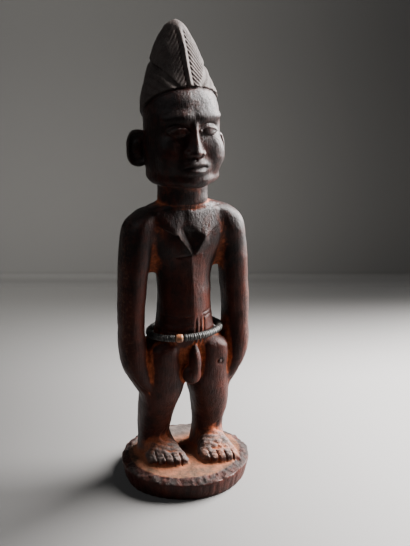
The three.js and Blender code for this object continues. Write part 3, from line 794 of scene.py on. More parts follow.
def carve_foot(block, place):
    length = FOOT_LENGTH - TOE_LENGTH
    pitch = FOOT_WIDTH / TOE_COUNT
    wedge = [
        Section(0, 5.5, 5, SINK),
        Section(3, 8.2, 11, SINK),
        Section(length * 0.5, 9.4, 16, SINK),
        Section(length * 0.75, 10.6, 13, SINK, square_front=2.6),
        Section(length, FOOT_WIDTH / 2, 8, SINK, square_front=3.6),
    ]
    angle = math.radians(180 + place.turn)
    cos, sin = math.cos(angle), math.sin(angle)

    def local(x, y, z):
        """A place told across the foot, along it from the heel, and down from its top."""
        across = (x - place.x) * cos + (y - place.y) * sin
        along = (y - place.y) * cos - (x - place.x) * sin + FOOT_BEHIND
        return np.broadcast_arrays(across, along, -z)

    def foot(x, y, z):
        across, along, down = local(x, y, z)
        return oval(wedge, across, down, along, block.step, 1)

    box = (place.x - 16, place.x + 16, place.y - 33, place.y + 16, -3, 21)
    block.join(box, foot, 4)
    end = length + TOE_LENGTH
    toes = [
        Section(length - 5, FOOT_WIDTH * 0.47, 6, SINK, square_front=3.6),
        Section(length + 1, FOOT_WIDTH / 2, 7.3, SINK, square_front=4.5),
        Section(end - 2, FOOT_WIDTH / 2, 6.6, SINK, square_front=4.5),
        Section(end, FOOT_WIDTH * 0.49, 5.8, SINK, square_front=4.5),
    ]

    def short(across):
        """How far the toe there falls short of the longest one."""
        toe = np.clip(across / pitch + (TOE_COUNT - 1) / 2, -0.5, TOE_COUNT - 0.5)
        return TOE_RECEDE * (toe - LONGEST_TOE) ** 2 + place.slant * toe

    def toe_block(x, y, z):
        across, along, down = local(x, y, z)
        return oval(toes, across, down, along + short(across), block.step, 1)

    def lines(x, y, z):
        """Cuts between the toes, and ridges across the foot behind them."""
        across, along, _ = local(x, y, z)
        toe = np.round(across / pitch + (TOE_COUNT - 1) / 2)
        forward = along + short(across)
        inside = ramp(-np.abs(across), -FOOT_WIDTH / 2 + 1, -FOOT_WIDTH / 2 + 2) * ramp(z, 0.8, 1.8)
        ahead = ramp(forward, length + 2.2, length + 3.8)
        cuts = TOE_CUT_DEPTH * bump(to_nearest(across + pitch / 2, pitch), TOE_CUT_WIDTH) * ahead
        ridges = 0.35 * bump(to_nearest(forward + 0.1 * across, 2.7), 1.6) * ramp(along, 15, 19)
        ends = 0.5 * bump(forward - end + 2.4 + 0.4 * (toe % 2), 1.3)
        return (cuts + ridges + ends) * inside

    block.join(box, toe_block, 1.2)
    block.press(box, lines)


def carve_base(block):
    half_width, half_depth = BASE_WIDTH / 2, BASE_DEPTH / 2

    def form(x, y, z):
        """The wandering wall with its upright marks, the ragged bevel, and the flat top and underside."""
        x, y, z = on_base(x, y, z)
        turn = np.arctan2(y, x)
        wander = 1 - BASE_WANDER / half_width * (1 - np.cos(3 * turn + 1) * np.cos(2 * turn))
        out = (np.hypot(x / half_width, y / half_depth) / wander - 1) * (half_width + half_depth) / 2
        low = np.clip((-z - BASE_BEVEL_DROP) / (BASE_HEIGHT - BASE_BEVEL_DROP), 0, 1)
        marks = np.abs(np.sin(17 * turn + 1.4 * np.sin(5 * turn))) + 0.6 * np.abs(np.sin(29 * turn + 0.8))
        wall = out + BASE_TAPER * low ** 1.5 + 0.3 * (1 - marks) * ramp(low, 0.02, 0.2)
        ragged = 0.8 * np.sin(4 * turn + 0.7) + 0.5 * np.sin(9 * turn + 2)
        slope = np.arctan(BASE_BEVEL_DROP / (BASE_BEVEL_WIDTH + ragged))
        bevel = out * np.sin(slope) + (z + BASE_BEVEL_DROP) * np.cos(slope)
        body = smooth_max(smooth_max(wall, bevel, 0.9), z, 0.6)
        return smooth_max(body, -BASE_HEIGHT - z, 1.2)

    block.join((-42, 44, -40, 44, -15, 5), form, 1.3)


WORLD_PLACE = np.array([*FIGURE_PLACE, BASE_HEIGHT - FOOTING])

# The string hangs round the hips, a little lower at the figure's right side and at the back.
STANDOFF = CLEARANCE + DISC_DIAMETER / 2
STRING_SLACK = 1.2
STRING_TILT = math.radians(2)
STRING_DIP = math.radians(5)
HANG = np.array(Matrix.Rotation(-STRING_DIP, 3, "X") @ Matrix.Rotation(-STRING_TILT, 3, "Y"))
RING_HALF = HIPS.half + STANDOFF + STRING_SLACK
RING_REACH = (HIPS.front + HIPS.back) / 2 + STANDOFF
RING_MIDDLE = (HIPS.back - HIPS.front) / 2
PALE_BEAD_DIAMETER = 4.8
PALE_BEAD_LENGTH = 4.4


def bead_middle():
    """The pale bead's place in the block."""
    low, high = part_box("pale_bead")
    return np.array((low + high) / 2) / MM - WORLD_PLACE


def carve_seat(block):
    """The room that the string and the pale bead take where they lie against the hips."""

    def form(x, y, z):
        level = [HANG[0, axis] * x + HANG[1, axis] * y + HANG[2, axis] * (z - HIPS.z) for axis in range(3)]
        size = np.hypot(level[0] / RING_HALF, (level[1] - RING_MIDDLE) / RING_REACH)
        return np.hypot((size - 1) * (RING_HALF + RING_REACH) / 2, level[2]) - STANDOFF

    block.cut((-26, 26, -25, 24, HIPS.z - 8, HIPS.z + 8), form, 0.6)
    ball = PALE_BEAD_DIAMETER / 2 + CLEARANCE
    block.lump(Lump(bead_middle(), (ball, ball, ball), 0.4, hollow=True))


def carve_surface(block, carving):
    """Knife marks all over, and a rougher skin on the toes and the worn edge of the base."""
    broad = unevenness(block.shape, block.step, pitch=7, seed=3)
    fine = unevenness(block.shape, block.step, pitch=2.6, seed=5)
    block.field += carving.tool_marks / MM * (broad + 0.35 * fine)
    rough = unevenness(block.shape, block.step, pitch=1.3, seed=8)
    chips = unevenness(block.shape, block.step, pitch=4.5, seed=11)
    erosion = carving.erosion / MM

    def weather(field, x, y, z):
        x, y, z = on_base(x, y, z)
        out = np.hypot(x / (BASE_WIDTH / 2), y / (BASE_DEPTH / 2))
        bevel = ramp(out, 0.82, 0.9) * ramp(z, -3.8, -2)
        toes = ramp(-y, 6, 12) * ramp(z, 0.6, 2) * ramp(-out, -0.86, -0.8)
        part = tuple(slice(0, count) for count in field.shape)
        chip = np.maximum(chips[part] - 0.6, 0)
        return field + erosion * ((bevel + toes) * rough[part] + 1.1 * bevel * chip)

    block.work((-50, 50, -50, 50, -50, 12), weather)


def carve_figure(carving):
    top = (CAD_BOX[1].z - CAD_BOX[0].z) / MM - BASE_HEIGHT + FOOTING
    sole = FOOTING - BASE_HEIGHT
    step = carving.step / MM
    block = Block((-43, -40, sole - 2), (44, 44, top + 2), step)
    carve_trunk(block)
    carve_chest(block)
    for lump in SEX:
        block.lump(lump)
    carve_hair(block, carving)
    carve_face(block)
    carve_ears(block)
    carve_details(block)
    for place in FEET:
        carve_foot(block, place)
    carve_base(block)
    carve_seat(block)
    carve_surface(block, carving)
    # The underside stays flat, so that the figure stands.
    block.work((-50, 50, -50, 50, sole - 2, sole + 2), lambda field, x, y, z: np.maximum(field, sole - z))
    return block


# From the block to a mesh, and the masks that its material is mixed by


def sampled(field, spots):
    """The field's values at points given in grid steps, by the eight points round each."""
    cell = np.clip(np.floor(spots).astype(int), 0, np.array(field.shape) - 2)
    share = spots - cell
    total = 0
    for corner in np.ndindex(2, 2, 2):
        at = cell + corner
        weight = np.prod(np.where(np.array(corner) == 1, share, 1 - share), axis=1)
        total = total + weight * field[at[:, 0], at[:, 1], at[:, 2]]
    return total


def thinned(mesh, triangles):
    """The mesh with its triangles merged, most of all where it is flat."""
    holder = bpy.data.objects.new("holder", mesh)
    bpy.context.scene.collection.objects.link(holder)
    faces = sum(len(polygon.vertices) - 2 for polygon in mesh.polygons)
    thin = holder.modifiers.new("thin", "DECIMATE")
    thin.ratio = min(triangles / faces, 1)
    depsgraph = bpy.context.evaluated_depsgraph_get()
    result = bpy.data.meshes.new_from_object(holder.evaluated_get(depsgraph), depsgraph=depsgraph)
    bpy.data.objects.remove(holder)
    bpy.data.meshes.remove(mesh)
    return result


def set_attribute(mesh, name, values):
    layer = mesh.attributes.new(name, "FLOAT", "POINT")
    layer.data.foreach_set("value", np.asarray(values, np.float32))


def mesh_of(block, name, triangles):
    """The block's surface as a mesh, in steps of the grid."""
    grid = openvdb.FloatGrid(FAR)
    grid.copyFromArray(np.clip(block.field, -FAR, FAR))
    points, _, quads = grid.convertToPolygons(isovalue=0.0)
    mesh = bpy.data.meshes.new(name)
    mesh.from_pydata(points, [], quads)
    mesh = thinned(mesh, triangles)
    mesh.name = name
    return mesh


def place_of(mesh):
    """The places of the vertices, one in each row."""
    places = np.empty(len(mesh.vertices) * 3, np.float32)
    mesh.vertices.foreach_get("co", places)
    return places.reshape(-1, 3)


# How much powder the wood holds, at heights from the feet to the crest.
POWDER_HEIGHTS = [0, 24, 60, 95, 130, 160, 167, 172, 260]
POWDER_SHARES = [0.7, 0.8, 1.1, 0.85, 0.5, 0.6, 0.5, 0.1, 0.1]


def wood_masks(block, spots, facing):
    """How sunken and how sharp the wood is at each spot, and where powder, dust and sand settle."""
    solid = np.clip(0.5 - block.field / block.step, 0, 1)
    deep, wide, fine = (sampled(blurred(solid, block.step, radius), spots) for radius in (9, 4, 1.1))
    x, y, z = (spots * block.step + block.low).T
    across, ahead, up = on_base(x, y, z)
    out = np.hypot(across / (BASE_WIDTH / 2), ahead / (BASE_DEPTH / 2))
    aside = np.abs(x)
    between = span(aside, 13, 17, 25, 29) * span(z, 60, 75, 146, 158)
    throat = span(z, 155, 160, 172, 178)
    ankles = span(z, 6, 10, 15, 26)
    hips = span(z, 74, 84, 88, 92)
    chest = ramp(-aside, -17, -14) * ramp(-y, 4, 7) * span(z, 122, 130, 156, 160)
    sunken = (wide - 0.5) * 3.5 + (deep - 0.52) * 3
    kept = 0.3 * between + 0.22 * throat + 0.35 * ankles + 0.22 * hips
    return {
        "recess": np.clip(sunken + kept, 0, 1),
        "groove": np.clip((fine - 0.53) * 6, 0, 1),
        "edge": np.clip((0.47 - fine) * 7, 0, 1),
        "sand": span(up, -1, -0.3, 0.9, 2.4) * ramp(-out, -0.9, -0.84),
        "foot": span(up, 0.9, 2.2, 8, 15) * ramp(facing, -0.3, 0.5),
        "bevel": ramp(out, 0.83, 0.9) * ramp(up, -3.2, -2.3) * ramp(facing, 0.2, 0.6),
        "low": ramp(-z, -150, -88),
        "powdery": curve(POWDER_HEIGHTS, POWDER_SHARES, z) * (1 - 0.9 * chest),
        "front": ramp(-ahead, -24, -12),
        "hair": ramp(over_hairline(y, z), -0.6, 0.6),
        "outer": ramp(aside, 33, 39) * ramp(z, 60, 80),
    }


def add_masks(mesh, block):
    normals = np.empty(len(mesh.vertices) * 3, np.float32)
    mesh.vertex_normals.foreach_get("vector", normals)
    facing = normals.reshape(-1, 3)[:, 2]
    for name, values in wood_masks(block, place_of(mesh), facing).items():
        set_attribute(mesh, name, values)


def finish_mesh(mesh, block):
    """Takes the mesh from steps of the grid to its place in the scene."""
    places = place_of(mesh) * block.step + block.low + WORLD_PLACE
    mesh.vertices.foreach_set("co", (places * MM).astype(np.float32).ravel())
    mesh.shade_smooth()
    mesh.update()


def show(mesh, name, material_makers, nodes):
    """Puts a mesh in the scene as a piece that stands for nodes of the frame."""
    piece = bpy.data.objects.new(name, mesh)
    bpy.context.scene.collection.objects.link(piece)
    for maker in material_makers:
        mesh.materials.append(maker())
    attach(piece, "root")
    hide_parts(*nodes)


# Shading. Groups that more than one material uses come first.


def node(tree, kind, inputs=None, **settings):
    """A new node with its settings, and its inputs linked or set to values."""
    made = tree.nodes.new(kind)
    for name, value in settings.items():
        setattr(made, name, value)
    for key, value in (inputs or {}).items():
        socket = made.inputs[key]
        if isinstance(value, bpy.types.NodeSocket):
            tree.links.new(value, socket)
        else:
            socket.default_value = value
    return made


def math_node(tree, operation, a, b=0.0, clamp=False):
    return node(tree, "ShaderNodeMath", {0: a, 1: b}, operation=operation, use_clamp=clamp).outputs[0]


def times(tree, a, b, clamp=False):
    return math_node(tree, "MULTIPLY", a, b, clamp)


def greatest(tree, first, *others):
    for other in others:
        first = math_node(tree, "MAXIMUM", first, other)
    return first


def weighed(tree, *terms):
    """The sum of values, each times its weight."""
    total = 0.0
    for value, weight in terms:
        inputs = {0: value, 1: weight, 2: total}
        total = node(tree, "ShaderNodeMath", inputs, operation="MULTIPLY_ADD").outputs[0]
    return total


def ranged(tree, value, low, high, to_low=0.0, to_high=1.0):
    """The value taken smoothly from one range to another."""
    inputs = {"Value": value, "From Min": low, "From Max": high, "To Min": to_low, "To Max": to_high}
    return node(tree, "ShaderNodeMapRange", inputs, interpolation_type="SMOOTHSTEP").outputs["Result"]


def mixed(tree, share, a, b, blend_type="MIX"):
    """One colour taken towards another by a share."""
    inputs = {0: share, 6: a, 7: b}
    return node(tree, "ShaderNodeMix", inputs, data_type="RGBA", blend_type=blend_type).outputs[2]


def attribute(tree, name):
    return node(tree, "ShaderNodeAttribute", attribute_name=name).outputs["Fac"]


def object_place(tree, scale=(1, 1, 1)):
    """Places in the object's own coordinates, stretched by a scale."""
    place = node(tree, "ShaderNodeTexCoord").outputs["Object"]
    return node(tree, "ShaderNodeMapping", {"Vector": place, "Scale": scale}).outputs["Vector"]


def new_group(name, inputs, outputs):
    """An empty node group with named sockets. Returns it with its input node and output node."""
    group = bpy.data.node_groups.new(name, "ShaderNodeTree")
    for socket, default in inputs.items():
        made = group.interface.new_socket(socket, in_out="INPUT", socket_type="NodeSocketFloat")
        made.default_value = default
    for socket in outputs:
        group.interface.new_socket(socket, in_out="OUTPUT", socket_type="NodeSocketFloat")
    return group, group.nodes.new("NodeGroupInput"), group.nodes.new("NodeGroupOutput")


def grain_group():
    """Streaks and pores that run up the wood."""
    group, given, put = new_group("Grain", {"Scale": 300.0}, ["Streaks", "Pores"])
    place = object_place(group, (1, 1, 0.09))
    streaks = node(group, "ShaderNodeTexNoise", {
        "Vector": place, "Scale": given.outputs["Scale"], "Detail": 5.0, "Roughness": 0.6})
    finer = times(group, given.outputs["Scale"], 4.0)
    pores = node(group, "ShaderNodeTexNoise", {
        "Vector": place, "Scale": finer, "Detail": 3.0, "Roughness": 0.7})
    group.links.new(ranged(group, streaks.outputs["Fac"], 0.35, 0.68), put.inputs["Streaks"])
    group.links.new(ranged(group, pores.outputs["Fac"], 0.3, 0.62), put.inputs["Pores"])
    return group


def blotch_group():
    """Cloudy patches with a soft or a hard edge."""
    group, given, put = new_group("Blotches", {"Scale": 60.0, "Low": 0.4, "High": 0.6}, ["Mask"])
    noise = node(group, "ShaderNodeTexNoise", {
        "Vector": object_place(group), "Scale": given.outputs["Scale"], "Detail": 6.0, "Roughness": 0.62})
    mask = ranged(group, noise.outputs["Fac"], given.outputs["Low"], given.outputs["High"])
    group.links.new(mask, put.inputs["Mask"])
    return group


def wear_group():
    """A mask that eats into edges unevenly."""
    group, given, put = new_group("Wear", {"Edge": 0.0, "Amount": 1.0, "Scale": 400.0}, ["Mask"])
    noise = node(group, "ShaderNodeTexNoise", {
        "Vector": object_place(group), "Scale": given.outputs["Scale"], "Detail": 5.0, "Roughness": 0.65})
    offset = math_node(group, "SUBTRACT", noise.outputs["Fac"], 0.5)
    spread = times(group, offset, 1.4)
    total = math_node(group, "ADD", given.outputs["Edge"], spread)
    mask = ranged(group, total, 0.3, 0.8)
    group.links.new(times(group, mask, given.outputs["Amount"], True), put.inputs["Mask"])
    return group


def speck_group():
    """Fine pits, 0 in a pit and 1 between them."""
    group, given, put = new_group("Specks", {"Scale": 900.0, "Size": 0.25}, ["Mask"])
    cells = node(group, "ShaderNodeTexVoronoi", {
        "Vector": object_place(group), "Scale": given.outputs["Scale"], "Randomness": 1.0})
    wide = times(group, given.outputs["Size"], 2.0)
    mask = ranged(group, cells.outputs["Distance"], given.outputs["Size"], wide)
    group.links.new(mask, put.inputs["Mask"])
    return group


CRACK_WARP = 6 * MM


def cracks_group():
    """Thin dark lines of dry, checked wood."""
    group, given, put = new_group("Cracks", {"Scale": 200.0, "Width": 0.06}, ["Mask"])
    place = object_place(group)
    warp = node(group, "ShaderNodeTexNoise", {"Vector": place, "Scale": 260.0, "Detail": 3.0})
    inputs = {0: warp.outputs["Color"], 1: (CRACK_WARP, CRACK_WARP, CRACK_WARP), 2: place}
    moved = node(group, "ShaderNodeVectorMath", inputs, operation="MULTIPLY_ADD")
    cells = node(group, "ShaderNodeTexVoronoi", {
        "Vector": moved.outputs["Vector"], "Scale": given.outputs["Scale"]}, feature="DISTANCE_TO_EDGE")
    mask = ranged(group, cells.outputs["Distance"], 0.0, given.outputs["Width"], 1.0, 0.0)
    group.links.new(mask, put.inputs["Mask"])
    return group


GROUP_MAKERS = {
    "Grain": grain_group, "Blotches": blotch_group, "Wear": wear_group, "Specks": speck_group,
    "Cracks": cracks_group,
}


def use(tree, name, output="Mask", **inputs):
    """Places a group in a material and returns one of its outputs."""
    group = bpy.data.node_groups.get(name) or GROUP_MAKERS[name]()
    return node(tree, "ShaderNodeGroup", inputs, node_tree=group).outputs[output]


def rgba(colour, gain=1.0):
    return (*(channel * gain for channel in colour), 1.0)


def new_material(name):
    material = bpy.data.materials.new(name)
    material.use_nodes = True
    tree = material.node_tree
    return material, tree, tree.nodes["Principled BSDF"]


def feed(tree, shader, values):
    """Links values to the shader's sockets, by name."""
    for name, value in values.items():
        tree.links.new(value, shader.inputs[name])


def bumped(tree, height, distance, strength, below=None):
    """The normal of a fine relief, over another one if it is given."""
    inputs = {"Height": height, "Distance": distance, "Strength": strength}
    if below is not None:
        inputs["Normal"] = below
    return node(tree, "ShaderNodeBump", inputs).outputs["Normal"]


WOOD_MASKS = (
    "recess", "groove", "edge", "sand", "foot", "bevel", "low", "outer", "powdery", "front", "hair")
WOOD_SPECULAR = 0.17
# How deep the textures of the wood seem, and how strongly they show.
WOOD_RELIEF = {"streaks": (0.3 * MM, 0.2), "pores": (0.15 * MM, 0.5), "flecks": (0.2 * MM, 0.4)}
CRACK_RELIEF = (0.4 * MM, 0.6)


def wood_values(tree):
    """The stored masks and the textures that the colours of the wood are mixed by."""
    return SimpleNamespace(
        **{name: attribute(tree, name) for name in WOOD_MASKS},
        streaks=use(tree, "Grain", "Streaks", Scale=300.0),
        pores=use(tree, "Grain", "Pores", Scale=300.0),
        clouds=use(tree, "Blotches", Scale=50.0, Low=0.36, High=0.64),
        patches=use(tree, "Blotches", Scale=140.0, Low=0.4, High=0.62),
        flecks=use(tree, "Blotches", Scale=520.0, Low=0.36, High=0.7),
        cracks=use(tree, "Cracks", Scale=230.0, Width=0.1),
    )


def skin_colour(tree, patina, wood):
    """The dark skin, redder lower down and where it has grown thin, and greyer on the hair, partly with
    dust and partly with a painted sheen.
    """
    thin = weighed(tree, (wood.clouds, 0.4), (wood.patches, 0.3), (wood.streaks, 0.25),
                   (wood.flecks, 0.3), (wood.low, 0.4), (1.0, -0.42))
    skin = mixed(tree, thin, rgba(patina.patina), rgba(patina.wood))
    # Partly dust, partly painted sheen: the hair takes a grey of the worn wood, less so in its grooves.
    hair_dust_and_sheen = weighed(tree, (wood.patches, 0.3), (wood.flecks, 0.3), (wood.groove, -0.8), (1.0, 0.5))
    return mixed(tree, times(tree, wood.hair, hair_dust_and_sheen, True), skin, rgba(patina.worn, 0.29))


def powder_held(tree, wood):
    """Where powder lies in the recesses."""
    held = times(tree, weighed(tree, (wood.recess, 1.0), (wood.groove, 0.45)), wood.powdery)
    held = weighed(tree, (held, 1.0), (wood.patches, 0.2), (1.0, -0.12))
    return ranged(tree, held, 0.05, 0.6)


def powdered(tree, patina, wood, powder, colour):
    """Camwood powder, broken up by the grain."""
    powder_colour = mixed(tree, wood.flecks, rgba(patina.powder, 0.45), rgba(patina.powder, 1.15))
    broken = weighed(tree, (wood.powdery, 0.4), (wood.streaks, 0.15), (wood.patches, 0.15), (1.0, 0.2))
    return mixed(tree, times(tree, powder, broken), colour, powder_colour)


def rubbed(tree, patina, wood, colour):
    """Rubbed edges, and lighter specks on the outer sides of the arms."""
    worn = use(tree, "Wear", Edge=wood.edge, Amount=0.35, Scale=330.0)
    colour = mixed(tree, worn, colour, rgba(patina.worn, 0.55))
    specked = times(tree, wood.outer, ranged(tree, wood.flecks, 0.5, 1.0))
    return mixed(tree, times(tree, specked, 0.55), colour, rgba(patina.dust, 0.32))


def base_top_colour(tree, patina, wood, reddened, glow):
    """Bare wood behind, and sandy dust in front, redder where it lies deep."""
    sand = mixed(tree, wood.flecks, rgba(patina.dust, 0.1), rgba(patina.dust, 0.24))
    sand = mixed(tree, times(tree, reddened, 0.7), sand, glow)
    behind = mixed(tree, wood.patches, rgba(patina.worn, 0.2), rgba(patina.worn, 0.42))
    return mixed(tree, wood.front, behind, sand)


def bevel_colour(tree, patina, wood):
    """Worn grey wood with dark pores, red patches and lighter edges."""
    bare = mixed(tree, wood.pores, rgba(patina.worn, 0.03), rgba(patina.worn, 0.13))
    bare = mixed(tree, times(tree, wood.patches, 0.6), bare, rgba(patina.wood))
    return mixed(tree, times(tree, wood.edge, 0.3), bare, rgba(patina.worn, 0.5))


def wood_material():
    patina = bpy.context.scene.figure_patina
    material, tree, shader = new_material("Carved wood")
    wood = wood_values(tree)
    powder = powder_held(tree, wood)
    colour = skin_colour(tree, patina, wood)
    colour = powdered(tree, patina, wood, powder, colour)
    colour = rubbed(tree, patina, wood, colour)

    # The base's top and bevel.
    redness = weighed(tree, (wood.recess, 1.0), (wood.patches, 0.45), (wood.clouds, 0.3))
    reddened = ranged(tree, redness, 0.15, 1.0)
    glow = mixed(tree, 0.3, rgba(patina.powder, 0.5), rgba(patina.dust, 0.75))
    sanded = use(tree, "Wear", Edge=wood.sand, Amount=0.95, Scale=100.0)
    colour = mixed(tree, sanded, colour, base_top_colour(tree, patina, wood, reddened, glow))
    bare = use(tree, "Wear", Edge=wood.bevel, Amount=0.9, Scale=240.0)
    colour = mixed(tree, bare, colour, bevel_colour(tree, patina, wood))

    # The feet: dusty, redder at the ankles, grey and checked at the toes.
    dustiness = weighed(tree, (wood.patches, 0.2), (wood.flecks, 0.4), (1.0, 0.4))
    settled = times(tree, wood.foot, dustiness)
    colour = mixed(tree, settled, colour, mixed(tree, reddened, rgba(patina.worn, 0.75), glow))
    dry = greatest(tree, settled, bare)
    checked = times(tree, wood.cracks, times(tree, dry, 0.75))
    colour = mixed(tree, checked, colour, rgba(patina.patina))

    dull = greatest(tree, powder, sanded, dry, times(tree, wood.hair, 0.6))
    gloss = ranged(tree, weighed(tree, (wood.clouds, 0.6), (wood.patches, 0.4)), 0.0, 1.0, 0.54, 0.4)
    rough = node(tree, "ShaderNodeMix", {0: dull, 2: gloss, 3: 0.9}, data_type="FLOAT").outputs[0]
    normal = None
    for name, (distance, strength) in WOOD_RELIEF.items():
        normal = bumped(tree, getattr(wood, name), distance, strength, normal)
    normal = bumped(tree, math_node(tree, "SUBTRACT", 1.0, checked), *CRACK_RELIEF, normal)
    feed(tree, shader, {"Base Color": colour, "Roughness": rough, "Normal": normal})
    shader.inputs["Specular IOR Level"].default_value = WOOD_SPECULAR
    return material


def disc_material():
    beads = bpy.context.scene.figure_beads
    material, tree, shader = new_material("Black disc beads")
    dusty = use(tree, "Blotches", Scale=500.0, Low=0.4, High=0.65)
    rubbed_edge = use(tree, "Wear", Edge=attribute(tree, "edge"), Amount=0.75, Scale=900.0)
    share = greatest(tree, rubbed_edge, times(tree, dusty, 0.2))
    black = mixed(tree, attribute(tree, "tone"), rgba(beads.black), rgba(beads.black, 3.0))
    specks = use(tree, "Specks", Scale=1500.0, Size=0.2)
    feed(tree, shader, {
        "Base Color": mixed(tree, share, black, rgba(beads.grey)),
        "Roughness": ranged(tree, share, 0.0, 1.0, 0.42, 0.7),
        "Normal": bumped(tree, specks, 0.06 * MM, 0.5),
    })
    return material


THREAD_DARK = (0.03, 0.022, 0.018)
THREAD_LIGHT = (0.14, 0.11, 0.085)
RUBBED_BEAD = (0.4, 0.26, 0.17)


def thread_material():
    material, tree, shader = new_material("Cotton thread")
    inputs = {"Vector": object_place(tree), "Scale": 900.0, "Distortion": 3.0}
    twist = node(tree, "ShaderNodeTexWave", inputs, bands_direction="DIAGONAL").outputs["Fac"]
    feed(tree, shader, {
        "Base Color": mixed(tree, twist, rgba(THREAD_DARK), rgba(THREAD_LIGHT)),
        "Normal": bumped(tree, twist, 0.1 * MM, 0.6),
    })
    shader.inputs["Roughness"].default_value = 0.9
    return material


def pale_material():
    beads = bpy.context.scene.figure_beads
    material, tree, shader = new_material("Pale bead")
    clouds = use(tree, "Blotches", Scale=420.0, Low=0.35, High=0.65)
    pale = mixed(tree, clouds, rgba(beads.pale, 0.6), rgba(beads.pale, 1.15))
    rubbed_edge = use(tree, "Wear", Edge=attribute(tree, "edge"), Amount=0.6, Scale=800.0)
    specks = use(tree, "Specks", Scale=1300.0, Size=0.16)
    feed(tree, shader, {
        "Base Color": mixed(tree, rubbed_edge, pale, rgba(RUBBED_BEAD)),
        "Roughness": ranged(tree, rubbed_edge, 0.0, 1.0, 0.34, 0.6),
        "Normal": bumped(tree, specks, 0.08 * MM, 0.6),
    })
    return material


# The beads


def turned_ring(profile, sides):
    """Vertices and faces of a closed profile of (radius, height) turned round the Z axis."""
    count = len(profile)
    vertices = []
    faces = []
    for side in range(sides):
        angle = 2 * math.pi * side / sides
        vertices += [(r * math.cos(angle), r * math.sin(angle), h) for r, h in profile]
        for i in range(count):
            a, b = side * count, (side + 1) % sides * count
            faces.append((a + i, b + i, b + (i + 1) % count, a + (i + 1) % count))
    return np.array(vertices), faces


def ring_places(steps=2000):
    """Points along the string and the length run to each, in millimetres."""
    turn = np.linspace(0, 2 * math.pi, steps + 1)
    level = np.stack([RING_HALF * np.cos(turn), RING_MIDDLE + RING_REACH * np.sin(turn), 0 * turn], 1)
    points = level @ HANG.T + (0, 0, HIPS.z) + WORLD_PLACE
    lengths = np.concatenate([[0], np.cumsum(np.linalg.norm(np.diff(points, axis=0), axis=1))])
    return points, lengths


def at_length(points, lengths, where):
    """The place that lies this far along the string."""
    where = where % lengths[-1]
    return np.array([np.interp(where, lengths, points[:, axis]) for axis in range(3)])


DISC_BORE = 0.7
DISC_SIDES = 24
DISC_THICKNESS_SPREAD = (0.8, 1.2)
DISC_RADIUS_SPREAD = (-0.07, 0.01)
DISC_FILL = (0.84, 0.93)  # the share of its room on the string that a disc takes up
DISC_SHIFT = 0.05
THICK_DISC_FACTOR = 1.6
DISCS_PER_THICK_ONE = 8
WIDE_DISC = 33  # counted from the pale bead towards the figure's left
WIDE_DISC_FACTOR = 1.1
THREAD_SIDES = 10
THREAD_STEPS = 160


def disc_profile(radius, thick):
    """A disc with softly rounded rims and a bore."""
    half, soft = thick / 2, thick * 0.3
    return [(DISC_BORE, -half), (radius - soft, -half), (radius - soft * 0.3, -half + soft * 0.3),
            (radius, -half + soft), (radius, half - soft), (radius - soft * 0.3, half - soft * 0.3),
            (radius - soft, half), (DISC_BORE, half)]


DISC_EDGE = [0, 0.2, 1, 0.45, 0.45, 1, 0.2, 0]  # how much each ring of the profile is rubbed


def frame_along(points, lengths, where):
    """A place on the string and the way it runs there."""
    ahead = at_length(points, lengths, where + 0.5) - at_length(points, lengths, where - 0.5)
    return at_length(points, lengths, where), ahead / np.linalg.norm(ahead)


def thread_tube(points, lengths):
    """Vertices and faces of the thread, closed round the hips."""
    vertices, faces = [], []
    for step in range(THREAD_STEPS):
        place, ahead = frame_along(points, lengths, step / THREAD_STEPS * lengths[-1])
        out = np.cross(ahead, (0, 0, 1))
        out /= np.linalg.norm(out)
        up = np.cross(out, ahead)
        a, b = step * THREAD_SIDES, (step + 1) % THREAD_STEPS * THREAD_SIDES
        for side in range(THREAD_SIDES):
            angle = 2 * math.pi * side / THREAD_SIDES
            after = (side + 1) % THREAD_SIDES
            vertices.append(place + THREAD_DIAMETER / 2 * (out * math.cos(angle) + up * math.sin(angle)))
            faces.append((a + side, b + side, b + after, a + after))
    return np.array(vertices), faces


def string_mesh(beads):
    """The disc beads on their thread, from one side of the pale bead round to the other."""
    random = np.random.default_rng(21)
    points, lengths = ring_places()
    start = lengths[np.argmin(np.linalg.norm(points - bead_middle() - WORLD_PLACE, axis=1))]
    gap = PALE_BEAD_LENGTH + 2 * CLEARANCE
    thickness = random.uniform(*DISC_THICKNESS_SPREAD, beads.discs)
    thick_ones = random.choice(beads.discs, beads.discs // DISCS_PER_THICK_ONE, replace=False)
    thickness[thick_ones] *= THICK_DISC_FACTOR
    thickness *= (lengths[-1] - gap) / thickness.sum()
    all_vertices, all_faces, edges, tones, slots = [], [], [], [], []

    def add(vertices, faces, edge, tone, slot):
        base = sum(len(part) for part in all_vertices)
        all_vertices.append(vertices)
        all_faces.extend([tuple(base + i for i in face) for face in faces])
        edges.extend(edge)
        tones.extend([tone] * len(vertices))
        slots.extend([slot] * len(faces))

    where = start + gap / 2
    for disc, room in enumerate(thickness):
        place, ahead = frame_along(points, lengths, where + room / 2)
        where += room
        radius = DISC_DIAMETER / 2 * (1 + random.uniform(*DISC_RADIUS_SPREAD))
        if disc == WIDE_DISC:
            radius *= WIDE_DISC_FACTOR
        thick = room * random.uniform(*DISC_FILL)
        vertices, faces = turned_ring(disc_profile(radius, thick), DISC_SIDES)
        lean = Euler(random.normal(0, beads.tilt / 2, 3)).to_matrix()
        stand = Vector(ahead).to_track_quat("Z", "Y").to_matrix()
        shift = random.normal(0, DISC_SHIFT, 3)
        vertices = vertices @ np.array((stand @ lean).transposed()) + place + shift
        add(vertices, faces, DISC_EDGE * DISC_SIDES, random.uniform(0, 1), 0)
    vertices, faces = thread_tube(points, lengths)
    add(vertices, faces, [0] * len(vertices), 0, 1)

    mesh = bpy.data.meshes.new("bead_string")
    mesh.from_pydata(np.concatenate(all_vertices) * MM, [], all_faces)
    mesh.polygons.foreach_set("material_index", slots)
    set_attribute(mesh, "edge", edges)
    set_attribute(mesh, "tone", tones)
    mesh.shade_smooth()
    return mesh


